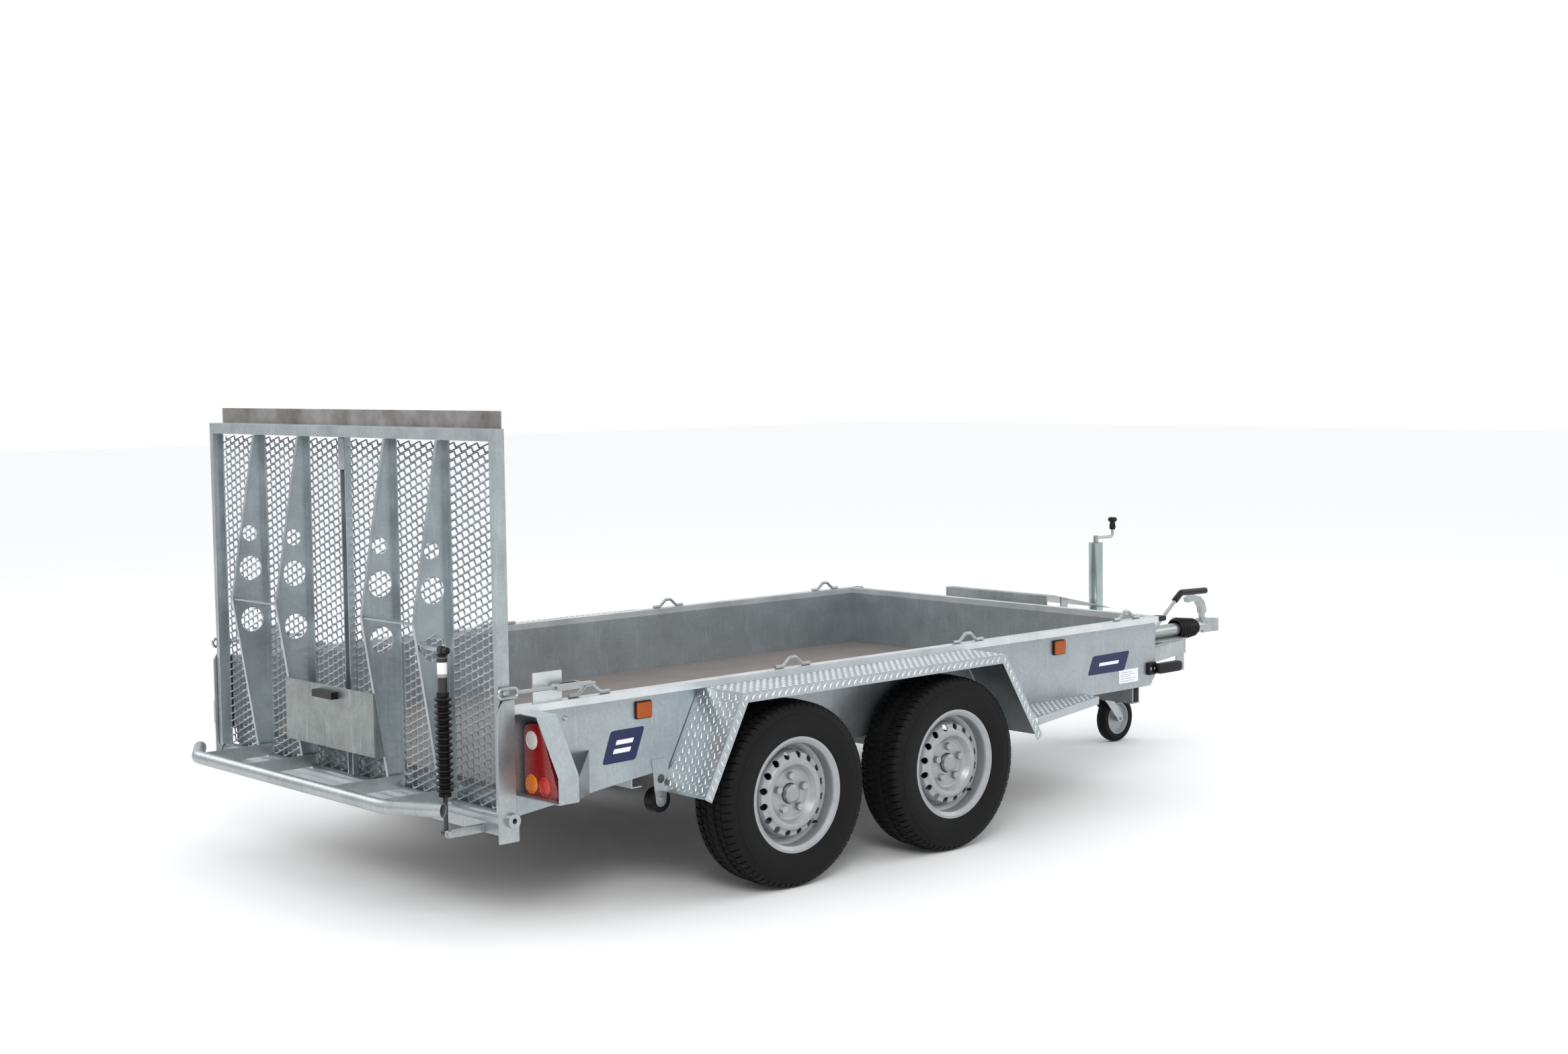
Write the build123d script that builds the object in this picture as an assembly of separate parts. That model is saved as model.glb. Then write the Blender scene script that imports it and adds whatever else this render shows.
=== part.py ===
"""Tandem-axle galvanised plant trailer with an upright mesh loading ramp.

Layout frame while modelling: X forward with x = 0 at the rear end of the side rails, Y to the
left, Z up with z = 0 on the ground. Everything is shifted along X at the end, so that the
exported origin is the centre of the footprint on the ground. Millimetres throughout.
"""
from build123d import *
import math
import os

# ---------------------------------------------------------------- clearances
RUN = 0.05                    # radial gap of a pin or shaft in its bore
AIR = 0.3                     # gap between curved neighbours
GAP = 3.0                     # side gap between the ramp and its posts
SEAT = 0.5                    # gap between the floor board and the panels

# ---------------------------------------------------------------- body
INNER_WIDTH = 1600.0          # load space between the side panels
PANEL_LENGTH = 2967.0         # side panels, from the rear end of the rail
SHEET = 3.0                   # folded body sheet
FLOOR_TOP = 430.0             # loading height
FLOOR_BOARD = 15.0            # plywood thickness
RAIL_TOP = 665.0              # top of the side rails
RAIL_WIDTH = 36.0
RAIL_DEPTH = 22.0
PANEL_BOTTOM = 398.0          # lower edge of the side panels
PANEL_TAIL_BOTTOM = 338.0     # lower edge at the very rear
PANEL_TAIL_LENGTH = 525.0     # length of the sloping part of the lower edge
FRONT_FOLD = 49.0             # forward returns of the front wall
INNER_Y = INNER_WIDTH / 2
PANEL_Y = INNER_Y + SHEET
RAIL_Y = PANEL_Y + RAIL_WIDTH
RAIL_BOTTOM = RAIL_TOP - RAIL_DEPTH
FLOOR_UNDER = FLOOR_TOP - FLOOR_BOARD
FRONT_WALL_X = PANEL_LENGTH - 20.0
FIRST_HOOP_X = 283.9419       # just ahead of the latch
HOOP_X = (FIRST_HOOP_X,) + tuple(PANEL_LENGTH * share for share in (0.3704, 0.6488, 0.943))

# ---------------------------------------------------------------- running gear
WHEEL_R = 294.0               # 185/70 R13 tyre, unloaded radius
TYRE_WIDTH = 185.0
RIM_R = 182.6                 # over the rim flange
RIM_WIDTH = 160.0
RIM_OUTER_Y = PANEL_Y + 183.0      # outer flange plane of the rim
AXLE_SPACING = 716.0
AXLE_REAR_X = round(PANEL_LENGTH * 0.32356)
AXLE_X = (AXLE_REAR_X, AXLE_REAR_X + AXLE_SPACING)
MARKER_X = (AXLE_REAR_X - 465.0, PANEL_LENGTH - 543.0)
VENT_COUNT = 16
BOLT_CIRCLE_R = 56.0
BOLT_R = 6.0
DISC = 4.0                    # thickness of the wheel disc
BOLT_FACE = 38.0              # bolt face of the wheel disc, inboard of the rim's outer plane
DRUM_R = 100.0
ARM_TRAIL = 160.0             # wheel centre behind the arm's pivot
PIVOT_Z = 330.0
SHAFT_ARM_R = 20.0            # torsion shaft
STUB_R = 16.0                 # stub axle
ARM_INNER_Y = RIM_OUTER_Y - 211.0
ARM_OUTER_Y = RIM_OUTER_Y - 186.0
SHAFT_INNER_Y = RIM_OUTER_Y - 331.0
BACKPLATE_Y = RIM_OUTER_Y - 154.0

# ---------------------------------------------------------------- mudguards, steps, hangers
GUARD_OUTER_Y = RIM_OUTER_Y + 30.0      # widest point of the trailer
GUARD_INNER_Y = PANEL_Y + SHEET
GUARD_LIP = 30.0
GUARD_PROFILE = [(AXLE_X[0] - 402.0, 341.0), (AXLE_X[0] - 243.0, RAIL_BOTTOM),
                 (AXLE_X[1] + 227.0, RAIL_BOTTOM), (AXLE_X[1] + 413.0, 344.0)]
STEP_TOP = 408.0
STEP_END_X = PANEL_LENGTH - 397.0
STEP_END_Y = PANEL_Y + 70.0
HANGER_X = AXLE_X[0] - 400.0
HANGER_PIN_Z = 310.0
HANGER_PIN_R = 6.0
HANGER_HOLE_R = 14.0
HANGER_HOLE_Z = 377.0
ROLLER_R = 38.0
ROLLER_WIDTH = 34.0

# ---------------------------------------------------------------- floor grid
GRID_BOTTOM = PIVOT_Z + 30.0
GRID_X = tuple(PANEL_LENGTH * share for share in (0.1517, 0.3236, 0.4954, 0.6673, 0.8156))
GRID_RAIL_Y = 560.0
GRID_FLANGE = 40.0
SILL_BOTTOM = 355.0
SILL_END_X = 50.0

# ---------------------------------------------------------------- ramp
HINGE_X = -17.0               # ramp hinge axis
HINGE_Z = 342.0
HINGE_TUBE_R = 21.0
HINGE_PIN_R = 12.5
RAMP_HALF_WIDTH = PANEL_Y + 30.0
RAMP_DEPTH = 40.0
RAMP_FRONT_X = -10.0
RAMP_REAR_X = RAMP_FRONT_X - RAMP_DEPTH
RAMP_TOP = 1458.0
TOP_CHANNEL = 35.0
LIP_TOP = 1508.0
LIP_HALF_WIDTH = RAMP_HALF_WIDTH - 18.0
STILE_FLANGE = 20.0
RIB_TOP_Z = RAMP_TOP - TOP_CHANNEL - 1.0
MESH_SHEET = 1.0              # closed sheet with the mass of the expanded metal
RIB_ROOT_X = RAMP_FRONT_X - 5.0
RIB_FOOT_Z = HINGE_Z + HINGE_TUBE_R + 3.0
RIB_Y = (541.0, 256.0, -256.0, -541.0)
RIB_TOP_DEPTH = 34.0
RIB_KINK_DEPTH = 128.0
RIB_FOOT_DEPTH = 45.0
RIB_KINK_Z = 890.0
RIB_FOLD = 10.0
RIB_HOLES = ((1100.0, 26.0), (985.0, 40.0), (815.0, 40.0))   # height and radius
POST_Y = RAMP_HALF_WIDTH + GAP
POST_TOP = 688.0
POST_LENGTH = 60.0
POST_THICK = 6.0
SKIRT_BOTTOM = 278.0
SKIRT_X = HINGE_X + HINGE_TUBE_R + 2.0
BUMPER_R = 21.0
BUMPER_X = -265.0
BUMPER_Z = 378.0
BUMPER_STRAIGHT_Y = 570.0
BUMPER_END = (-175.0, 730.0)
BUMPER_ARM = 40.0             # height of the flat arms
PLATE_X = -107.4
PLATE_HALF = 263.0
PLATE_LOW = 460.0
PLATE_HIGH = 655.0

# ---------------------------------------------------------------- strut
STRUT_Y = RIB_Y[3] - 105.0
STRUT_LOW = (-112.0, 290.0)
STRUT_HIGH = (-112.0, 823.0)
STRUT_TUBE_R = 14.0
STRUT_TUBE_LENGTH = 310.0
STRUT_ROD_R = 7.0
STRUT_BOLT_R = 6.0
BELLOWS_R = 26.0
BELLOWS_LOW = 424.0
BELLOWS_HIGH = 700.0
BELLOWS_RINGS = 14

# ---------------------------------------------------------------- latches
LATCH_Z = 708.0
LATCH_Y = RAMP_HALF_WIDTH + 12.0
LATCH_PIVOT_X = 150.0
LATCH_RING_X = -24.0
LATCH_BARREL_R = 11.0
LATCH_STUD_Y = PANEL_Y + 18.0      # outer face of the latch plate on the rail

# ---------------------------------------------------------------- tail lamps
LAMP_X = 50.0                 # rear face of the lens
GUARD_REAR_X = 25.0           # tail lamp guard
GUARD_FRONT_X = 95.0
GUARD_LOW_Y = PANEL_Y + 210.0
GUARD_HIGH_Y = PANEL_Y + 108.0
LAMP_OUTLINE = [(13, 590), (27, 606), (81, 610), (163, 436), (159, 412), (147, 406.3),
                (29, 406.3), (13, 422)]          # outward from the panel, and height
ROUND_WHITE = (49.0, 566.0, 27.0)                # outward, height, radius
ROUND_AMBER = (45.0, 439.0, 28.0)
ROUND_RED = (109.0, 438.0, 28.0)

# ---------------------------------------------------------------- drawbar
DRAWBAR_TOP = 400.0
DRAWBAR_DEPTH = 62.0
DRAWBAR_ROOT_X = PANEL_LENGTH - 67.0
DRAWBAR_ROOT_Y = 420.0
DRAWBAR_END_X = DRAWBAR_ROOT_X + 1250.0
DRAWBAR_END_Y = 75.0
DRAWBAR_FLANGE = 40.0
FRONT_BEAM_X = DRAWBAR_ROOT_X - 40.0
REST_LEG_X = DRAWBAR_ROOT_X + 260.0
REST_NOSE_X = DRAWBAR_ROOT_X + 550.0

# ---------------------------------------------------------------- jockey wheel
JOCKEY_X = DRAWBAR_ROOT_X + 667.0
JOCKEY_Y = -46.0
JOCKEY_TUBE_R = 30.0
JOCKEY_INNER_R = 24.0
JOCKEY_TOP = 865.0
JOCKEY_LOW = 380.0            # lower end of the outer tube
JOCKEY_SPINDLE_R = 8.0
JOCKEY_WHEEL = (JOCKEY_X + 125.0, 100.0)
JOCKEY_WHEEL_R = 100.0
JOCKEY_WHEEL_WIDTH = 50.0
CROWN_TOP = 213.0
FORK_ARM = 5.0
JOCKEY_AXLE_R = 6.0
JOCKEY_SEAT_R = 68.0          # rim under the solid tyre
CRANK_REACH = 112.0

# ---------------------------------------------------------------- overrun coupling
COUPLING_X = DRAWBAR_END_X + 295.0      # ball centre
COUPLING_Z = 433.0
BALL_R = 25.0
SHAFT_R = 22.5
HOUSING_R = 30.0
HOUSING_REAR_X = DRAWBAR_END_X - 290.0
HOUSING_FRONT_X = DRAWBAR_END_X + 28.0
SHAFT_REAR_X = DRAWBAR_END_X - 250.0
HEAD_X = DRAWBAR_END_X + 200.0
COUPLING_NOSE_R = BALL_R + 9.0
COUPLING_HALF = 27.0          # half height of the ball cup
HANDLE_PIVOT = (COUPLING_X - 68.0, COUPLING_Z + 20.0)
HANDLE_PIN_R = 4.0
HANDLE_NECK = 40.0            # narrow part of the handle above its pivot
HANDBRAKE_PIVOT = (DRAWBAR_END_X - 215.0, 436.0)
HANDBRAKE_Y = -48.0
HANDBRAKE_PIN_R = 8.0
LEVER_R = 8.0
GRIP_START = (DRAWBAR_END_X - 38.0, 572.0)
GRIP_BEND = (DRAWBAR_END_X + 8.0, 604.0)
GRIP_END = (DRAWBAR_END_X + 185.0, 600.0)

# ---------------------------------------------------------------- overall
REAR_END_X = BUMPER_X - BUMPER_R
FRONT_END_X = COUPLING_X + COUPLING_NOSE_R
ORIGIN_X = (REAR_END_X + FRONT_END_X) / 2


# ---------------------------------------------------------------- small builders
def block(x0, x1, y0, y1, z0, z1):
    """Box between two corners."""
    return Solid.make_box(x1 - x0, y1 - y0, z1 - z0, Plane(origin=(x0, y0, z0)))


def prism(corners, direction):
    """Solid from a flat closed outline, given in space, and an extrusion vector."""
    outline = Wire.make_polygon([Vector(*c) for c in corners], close=True)
    return Solid.extrude(Face(outline), Vector(*direction))


def plate_xz(points, y0, y1):
    """Prism of an (x, z) outline between two Y planes."""
    return prism([(x, y0, z) for x, z in points], (0, y1 - y0, 0))


def plate_yz(points, x0, x1):
    """Prism of a (y, z) outline between two X planes."""
    return prism([(x0, y, z) for y, z in points], (x1 - x0, 0, 0))


def plate_xy(points, z0, z1):
    """Prism of an (x, y) outline between two heights."""
    return prism([(x, y, z0) for x, y in points], (0, 0, z1 - z0))


def rod(start, end, radius):
    """Round bar between two points."""
    axis = Vector(*end) - Vector(*start)
    return Solid.make_cylinder(radius, axis.length, Plane(origin=start, z_dir=axis))


def rod_y(x, z, y0, y1, radius):
    """Round bar along Y."""
    return rod((x, min(y0, y1), z), (x, max(y0, y1), z), radius)


def turned_y(profile, x, z, side=1.0):
    """Ring turned about a Y axis at (x, z) from (radius, y) points."""
    outline = Wire.make_polygon([Vector(r, side * y, 0) for r, y in profile], close=True)
    ring = Solid.revolve(Face(outline), 360, Axis((0, 0, 0), (0, 1, 0)))
    return ring.moved(Location((x, 0, z)))


def turned_x(profile, y, z):
    """Ring turned about an X axis at (y, z) from (x, radius) points."""
    outline = Wire.make_polygon([Vector(x, r, 0) for x, r in profile], close=True)
    ring = Solid.revolve(Face(outline), 360, Axis((0, 0, 0), (1, 0, 0)))
    return ring.moved(Location((0, y, z)))


def turned_z(profile, x, y):
    """Ring turned about a Z axis at (x, y) from (radius, z) points."""
    outline = Wire.make_polygon([Vector(r, 0, z) for r, z in profile], close=True)
    ring = Solid.revolve(Face(outline), 360, Axis((0, 0, 0), (0, 0, 1)))
    return ring.moved(Location((x, y, 0)))


def bent_bar(points, bend, radius):
    """Round bar swept along a path with rounded corners."""
    path = FilletPolyline(*points, radius=bend)
    section = Plane(origin=path @ 0, z_dir=path % 0) * Circle(radius)
    return sweep(section, path=path).solid()


def both_sides(solids):
    """The right-hand pieces together with their mirror images."""
    return list(solids) + [piece.mirror(Plane.XZ) for piece in solids]


def offset_inside(points, distance):
    """Copy of an open (x, z) path moved to its right-hand side, with mitred corners."""
    moved = []
    for i, (x, z) in enumerate(points):
        normals = []
        for a, b in ((i - 1, i), (i, i + 1)):
            if a >= 0 and b < len(points):
                dx = points[b][0] - points[a][0]
                dz = points[b][1] - points[a][1]
                run = math.hypot(dx, dz)
                normals.append((dz / run, -dx / run))
        nx = sum(n[0] for n in normals) / len(normals)
        nz = sum(n[1] for n in normals) / len(normals)
        scale = distance / (nx * nx + nz * nz)
        moved.append((x + nx * scale, z + nz * scale))
    return moved


# ---------------------------------------------------------------- body
def side_panel():
    """Right side panel with its folded rail, and the latch plate that stands on the rail."""
    notch_z = HINGE_Z + HINGE_TUBE_R + 2
    panel = plate_xz([(SKIRT_X, PANEL_TAIL_BOTTOM), (PANEL_TAIL_LENGTH, PANEL_BOTTOM),
                      (PANEL_LENGTH, PANEL_BOTTOM), (PANEL_LENGTH, RAIL_BOTTOM),
                      (0, RAIL_BOTTOM), (0, notch_z), (SKIRT_X, notch_z)], -PANEL_Y, -INNER_Y)
    rail = block(0, PANEL_LENGTH, -RAIL_Y, -INNER_Y, RAIL_BOTTOM, RAIL_TOP)
    hollow = block(0, PANEL_LENGTH, SHEET - RAIL_Y, -INNER_Y - SHEET,
                   RAIL_BOTTOM + SHEET, RAIL_TOP - SHEET)
    latch_plate = block(80, 183, -LATCH_STUD_Y, 6 - LATCH_STUD_Y, RAIL_TOP, LATCH_Z + 44)
    return [(panel + rail - hollow).solid(), latch_plate]


def front_wall():
    """Front wall: sheet with side and bottom returns and a top rail, folded forward."""
    x0 = FRONT_WALL_X
    y1 = INNER_Y
    sheet = block(x0, x0 + SHEET, -y1, y1, 406, RAIL_TOP)
    bottom = block(x0, x0 + FRONT_FOLD - 15, -y1, y1, 406, 406 + SHEET)
    rail = block(x0, x0 + 30, -y1, y1, RAIL_BOTTOM, RAIL_TOP)
    hollow = block(x0 + SHEET, x0 + 30 - SHEET, -y1, y1, RAIL_BOTTOM + SHEET, RAIL_TOP - SHEET)
    wall = sheet + bottom + rail - hollow
    corner = 25.0
    flange = plate_xz([(x0, 406), (x0 + FRONT_FOLD - corner, 406),
                       (x0 + FRONT_FOLD, 406 + corner), (x0 + FRONT_FOLD, RAIL_BOTTOM),
                       (x0, RAIL_BOTTOM)], -y1, SHEET - y1)
    wall = wall + flange + flange.mirror(Plane.XZ)
    return [wall.solid()]


def floor_board():
    """Plywood floor with its small countersunk screws left to the finish."""
    return [block(SEAT * 4, FRONT_WALL_X - SEAT, SEAT - INNER_Y, INNER_Y - SEAT,
                  FLOOR_UNDER, FLOOR_TOP)]


def channel_along_y(x, y0, y1, z0, z1, width=GRID_FLANGE, wall=4.0):
    """C-section cross member along Y, open to the front."""
    outer = block(x, x + width, y0, y1, z0, z1)
    return outer - block(x + wall, x + width, y0, y1, z0 + wall, z1 - wall)


def channel_along_x(x0, x1, y, z0, z1, width=GRID_FLANGE, wall=4.0):
    """C-section rail along X whose open side faces the centre line."""
    outer = block(x0, x1, min(y, y + width), max(y, y + width), z0, z1)
    inner_lo = min(y, y + width) + (wall if width > 0 else 0)
    inner_hi = max(y, y + width) - (0 if width > 0 else wall)
    return outer - block(x0, x1, inner_lo, inner_hi, z0 + wall, z1 - wall)


def chassis_frame():
    """Floor grid, rear sill with skirt, hinge posts, and the strut's lower arm."""
    pieces = []
    sill_x = SKIRT_X + 4
    sill = block(sill_x, SILL_END_X, 2 - INNER_Y, INNER_Y - 2, SILL_BOTTOM, FLOOR_UNDER)
    sill = sill - block(sill_x + 4, SILL_END_X, 2 - INNER_Y, INNER_Y - 2,
                        SILL_BOTTOM + 4, FLOOR_UNDER - 4)
    pieces.append(sill)
    stops = (SILL_END_X,) + GRID_X + (FRONT_BEAM_X,)
    for start, end in zip(stops, stops[1:]):
        x0 = start if start == SILL_END_X else start + GRID_FLANGE
        for y, width in ((-GRID_RAIL_Y, GRID_FLANGE), (GRID_RAIL_Y, -GRID_FLANGE)):
            pieces.append(channel_along_x(x0, end, y, GRID_BOTTOM, FLOOR_UNDER, width))
    for x in GRID_X:
        pieces.append(channel_along_y(x, 1 - INNER_Y, INNER_Y - 1, GRID_BOTTOM, FLOOR_UNDER))
    beam = block(FRONT_BEAM_X, DRAWBAR_ROOT_X, 1 - INNER_Y, INNER_Y - 1,
                 DRAWBAR_TOP - DRAWBAR_DEPTH, FLOOR_UNDER)
    beam = beam - block(FRONT_BEAM_X + 4, DRAWBAR_ROOT_X - 4, 1 - INNER_Y, INNER_Y - 1,
                        DRAWBAR_TOP - DRAWBAR_DEPTH + 4, FLOOR_UNDER - 4)
    pieces.append(beam)
    skirt = block(SKIRT_X, sill_x, 1 - INNER_Y, INNER_Y - 1, SKIRT_BOTTOM, FLOOR_UNDER)
    skirt = skirt + block(SKIRT_X, sill_x, -RAIL_Y, RAIL_Y, SKIRT_BOTTOM, PANEL_TAIL_BOTTOM)
    pieces.append(skirt.solid())
    pieces.extend(both_sides([rear_post()]))
    pieces.append(strut_arm())
    return pieces


def rear_post():
    """Right hinge post: flat bar with a chamfered top, a hinge bush and a corner plate."""
    y_in = -POST_Y
    y_out = -POST_Y - POST_THICK
    bar = plate_xz([(-POST_LENGTH, SKIRT_BOTTOM), (SKIRT_X, SKIRT_BOTTOM),
                    (SKIRT_X, PANEL_TAIL_BOTTOM), (0, PANEL_TAIL_BOTTOM), (0, POST_TOP),
                    (22 - POST_LENGTH, POST_TOP), (-POST_LENGTH, POST_TOP - 37)], y_in, y_out)
    corner = block(-4, 0, y_in, -INNER_Y - 1, FLOOR_UNDER + 2, RAIL_TOP)
    bush = rod_y(HINGE_X, HINGE_Z, y_out - 14, y_out, HINGE_TUBE_R)
    post = bar + corner + bush
    bore = rod_y(HINGE_X, HINGE_Z, y_out - 20, y_in + 5, HINGE_PIN_R + RUN)
    return (post - bore).solid()


def strut_arm():
    """Flat arm on the skirt that carries the strut's lower bolt."""
    x, z = STRUT_LOW
    y_out = STRUT_Y - 19.0
    y_in = STRUT_Y - 11.0
    bar = block(x, SKIRT_X, y_out, y_in, z - 12.5, z + 12.5)
    bar = bar + rod_y(x, z, y_out, y_in, 12.5) + rod_y(x, z, y_in, STRUT_Y + 9, STRUT_BOLT_R)
    head = rod_y(x, z, y_out - 8, y_out, 10.0)
    return (bar + head).solid()


def mudguard():
    """Right mudguard over both wheels, folded from one sheet, with a stiffening lip."""
    inner = offset_inside(GUARD_PROFILE, SHEET)
    lip = offset_inside(GUARD_PROFILE, GUARD_LIP)
    shell = plate_xz(GUARD_PROFILE + inner[::-1], -GUARD_OUTER_Y, -GUARD_INNER_Y)
    edge = plate_xz(GUARD_PROFILE + lip[::-1], -GUARD_OUTER_Y, SHEET - GUARD_OUTER_Y)
    return (shell + edge).solid()


def step_plate():
    """Right step plate ahead of the mudguard, tapering to the front."""
    (x_top, z_top), (x_foot, z_foot) = GUARD_PROFILE[2], GUARD_PROFILE[3]
    lean = (x_foot - x_top) / (z_top - z_foot)
    rear_x = x_top + lean * (z_top - STEP_TOP) + 2.0
    foot_x = rear_x + lean * GUARD_LIP
    tread = prism([(rear_x + lean * SHEET, -PANEL_Y, STEP_TOP), (STEP_END_X, -PANEL_Y, STEP_TOP),
                   (STEP_END_X, -STEP_END_Y, STEP_TOP),
                   (rear_x + lean * SHEET, SHEET - GUARD_OUTER_Y, STEP_TOP)], (0, 0, -SHEET))
    slope = (GUARD_OUTER_Y - STEP_END_Y) / (STEP_END_X - foot_x)
    edge = prism([(foot_x, SHEET - GUARD_OUTER_Y, STEP_TOP),
                  (STEP_END_X, -STEP_END_Y, STEP_TOP),
                  (STEP_END_X, -STEP_END_Y, STEP_TOP - GUARD_LIP + 1),
                  (foot_x, SHEET - GUARD_OUTER_Y, STEP_TOP - GUARD_LIP + 1)],
                 (SHEET * slope, SHEET, 0))
    return (tread + edge).solid()


def drawbar_frame():
    """Two converging channels with a cross plate for the jockey wheel clamp."""
    z0 = DRAWBAR_TOP - DRAWBAR_DEPTH
    outer = [(DRAWBAR_ROOT_X, -DRAWBAR_ROOT_Y), (DRAWBAR_END_X, -DRAWBAR_END_Y)]
    inner = [(x, y + DRAWBAR_FLANGE) for x, y in outer]
    rail = plate_xy(outer + inner[::-1], z0, DRAWBAR_TOP)
    cut = [(outer[0][0] - 5, outer[0][1] + 5), (outer[1][0] + 5, outer[1][1] + 5),
           (outer[1][0] + 5, outer[1][1] + 60), (outer[0][0] - 5, outer[0][1] + 60)]
    rail = (rail - plate_xy(cut, z0 + 4, DRAWBAR_TOP - 4)).solid()
    half = drawbar_half_width(JOCKEY_X - 70)
    bridge = block(JOCKEY_X - 70, JOCKEY_X + 70, -half, half, DRAWBAR_TOP, DRAWBAR_TOP + 5)
    bridge = bridge - rod((JOCKEY_X, JOCKEY_Y, 300), (JOCKEY_X, JOCKEY_Y, 500),
                          JOCKEY_TUBE_R + AIR)
    nose = block(DRAWBAR_END_X, DRAWBAR_END_X + 5, -DRAWBAR_END_Y, DRAWBAR_END_Y, z0, DRAWBAR_TOP)
    plug_park = block(DRAWBAR_END_X - 58, DRAWBAR_END_X - 2, -72, -66, z0 - 75, z0)
    return both_sides([rail]) + [bridge.solid(), nose, plug_park]


def drawbar_half_width(x):
    """Outer half width of the drawbar at a place along X."""
    share = (x - DRAWBAR_ROOT_X) / (DRAWBAR_END_X - DRAWBAR_ROOT_X)
    return DRAWBAR_ROOT_Y + share * (DRAWBAR_END_Y - DRAWBAR_ROOT_Y)


def bucket_rest():
    """Folded sheet ahead of the front wall that carries a digger bucket, on two legs."""
    back_x = FRONT_WALL_X + 100.0
    y0, y1 = -218.0, 337.0
    nose_x, nose_z = REST_NOSE_X, 612.0
    top = 692.0
    tray = plate_xz([(back_x, 640), (back_x + SHEET, 640), (back_x + SHEET, top - SHEET),
                     (back_x + 40, top - SHEET), (nose_x, nose_z - SHEET), (nose_x, nose_z),
                     (back_x + 40, top), (back_x, top)], y0, y1)
    legs = []
    for y in (y0 + 20, y1 - 60):
        leg_x = REST_LEG_X
        slope = (top - nose_z) / (nose_x - back_x - 40)
        leg_top = top - SHEET - slope * (leg_x - back_x - 40)
        legs.append(plate_xz([(leg_x, DRAWBAR_TOP), (leg_x + 40, DRAWBAR_TOP),
                              (leg_x + 40, leg_top - slope * 40), (leg_x, leg_top)], y, y + 6))
    reach = drawbar_half_width(REST_LEG_X)
    foot = block(REST_LEG_X - 10, REST_LEG_X + 50, -reach, reach, DRAWBAR_TOP, DRAWBAR_TOP + 5)
    lifted = [leg - foot for leg in legs]
    return [(tray + lifted[0] + lifted[1] + foot).solid()]


# ---------------------------------------------------------------- lamps and fittings
def tail_lamp_guard():
    """Right tail lamp guard: folded hood, back plate and a slanting brace to the panel."""
    top = RAIL_BOTTOM
    low, high = GUARD_LOW_Y, GUARD_HIGH_Y
    outline = [(-PANEL_Y, top), (-high, top), (-low, 480), (-low, 403), (-PANEL_Y, 403)]
    hollow = [(5 - PANEL_Y, top - SHEET), (1.5 - high, top - SHEET), (SHEET - low, 479),
              (SHEET - low, 406), (5 - PANEL_Y, 406)]
    hood = plate_yz(outline, GUARD_REAR_X, GUARD_FRONT_X)
    hood = hood - plate_yz(hollow, GUARD_REAR_X - 5, GUARD_FRONT_X - SHEET)
    brace = prism([(GUARD_FRONT_X - 2, 4 - low, 405), (GUARD_FRONT_X - 2, 4 - low, 462),
                   (290, -PANEL_Y, 500), (290, -PANEL_Y, 372)], (SHEET, SHEET, 0))
    brace = brace & block(0, 400, -low - 7, -PANEL_Y, 300, 600)
    return (hood + brace).solid()


def round_lens(place, x0, x1, grow=0.0):
    """Round lens along X at (y, z) with a radius."""
    outward, z, radius = place
    y = -PANEL_Y - outward
    return rod((x0, y, z), (x1, y, z), radius + grow)


def tail_lamp_red():
    """Right tail lamp: red body with pockets for the two coloured lenses."""
    outline = [(-PANEL_Y - outward, z) for outward, z in LAMP_OUTLINE]
    body = plate_yz(outline, LAMP_X, GUARD_FRONT_X - SHEET)
    for place in (ROUND_WHITE, ROUND_AMBER):
        body = body - round_lens(place, LAMP_X - 5, LAMP_X + 15)
    return (body + round_lens(ROUND_RED, LAMP_X - 3, LAMP_X)).solid()


def marker_lamp(x):
    """Right side marker lamp on the panel."""
    return block(x - 31, x + 31, -PANEL_Y - 14, -PANEL_Y, 570, 624)


def front_lamp():
    """Right front marker: rubber paddle that sticks out ahead of the panel's front edge."""
    base = block(PANEL_LENGTH - 30, PANEL_LENGTH + 20, -PANEL_Y - 12, -PANEL_Y, 440, 488)
    blade = [(5, 446), (118, 442), (143, 448), (153, 462), (141, 474), (113, 480), (5, 482)]
    blade = plate_xz([(PANEL_LENGTH + x, z) for x, z in blade], -PANEL_Y - 34, -PANEL_Y - 12)
    return (base + blade).solid()


def rail_cap():
    """Right rail's end cap."""
    return block(PANEL_LENGTH, PANEL_LENGTH + 50, -RAIL_Y + 1, -INNER_Y - 1,
                 RAIL_BOTTOM + 1, RAIL_TOP - 1)


def lashing_hoop(x):
    """Right lashing hoop bent from round bar, standing on the rail."""
    y = -INNER_Y - RAIL_WIDTH / 2
    bar = 6.0
    z = RAIL_TOP + bar
    points = [(x - 75, y, z), (x - 42, y, z), (x - 12, y, z + 25), (x + 12, y, z + 25),
              (x + 42, y, z), (x + 75, y, z)]
    return bent_bar(points, 8.0, bar)


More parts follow.
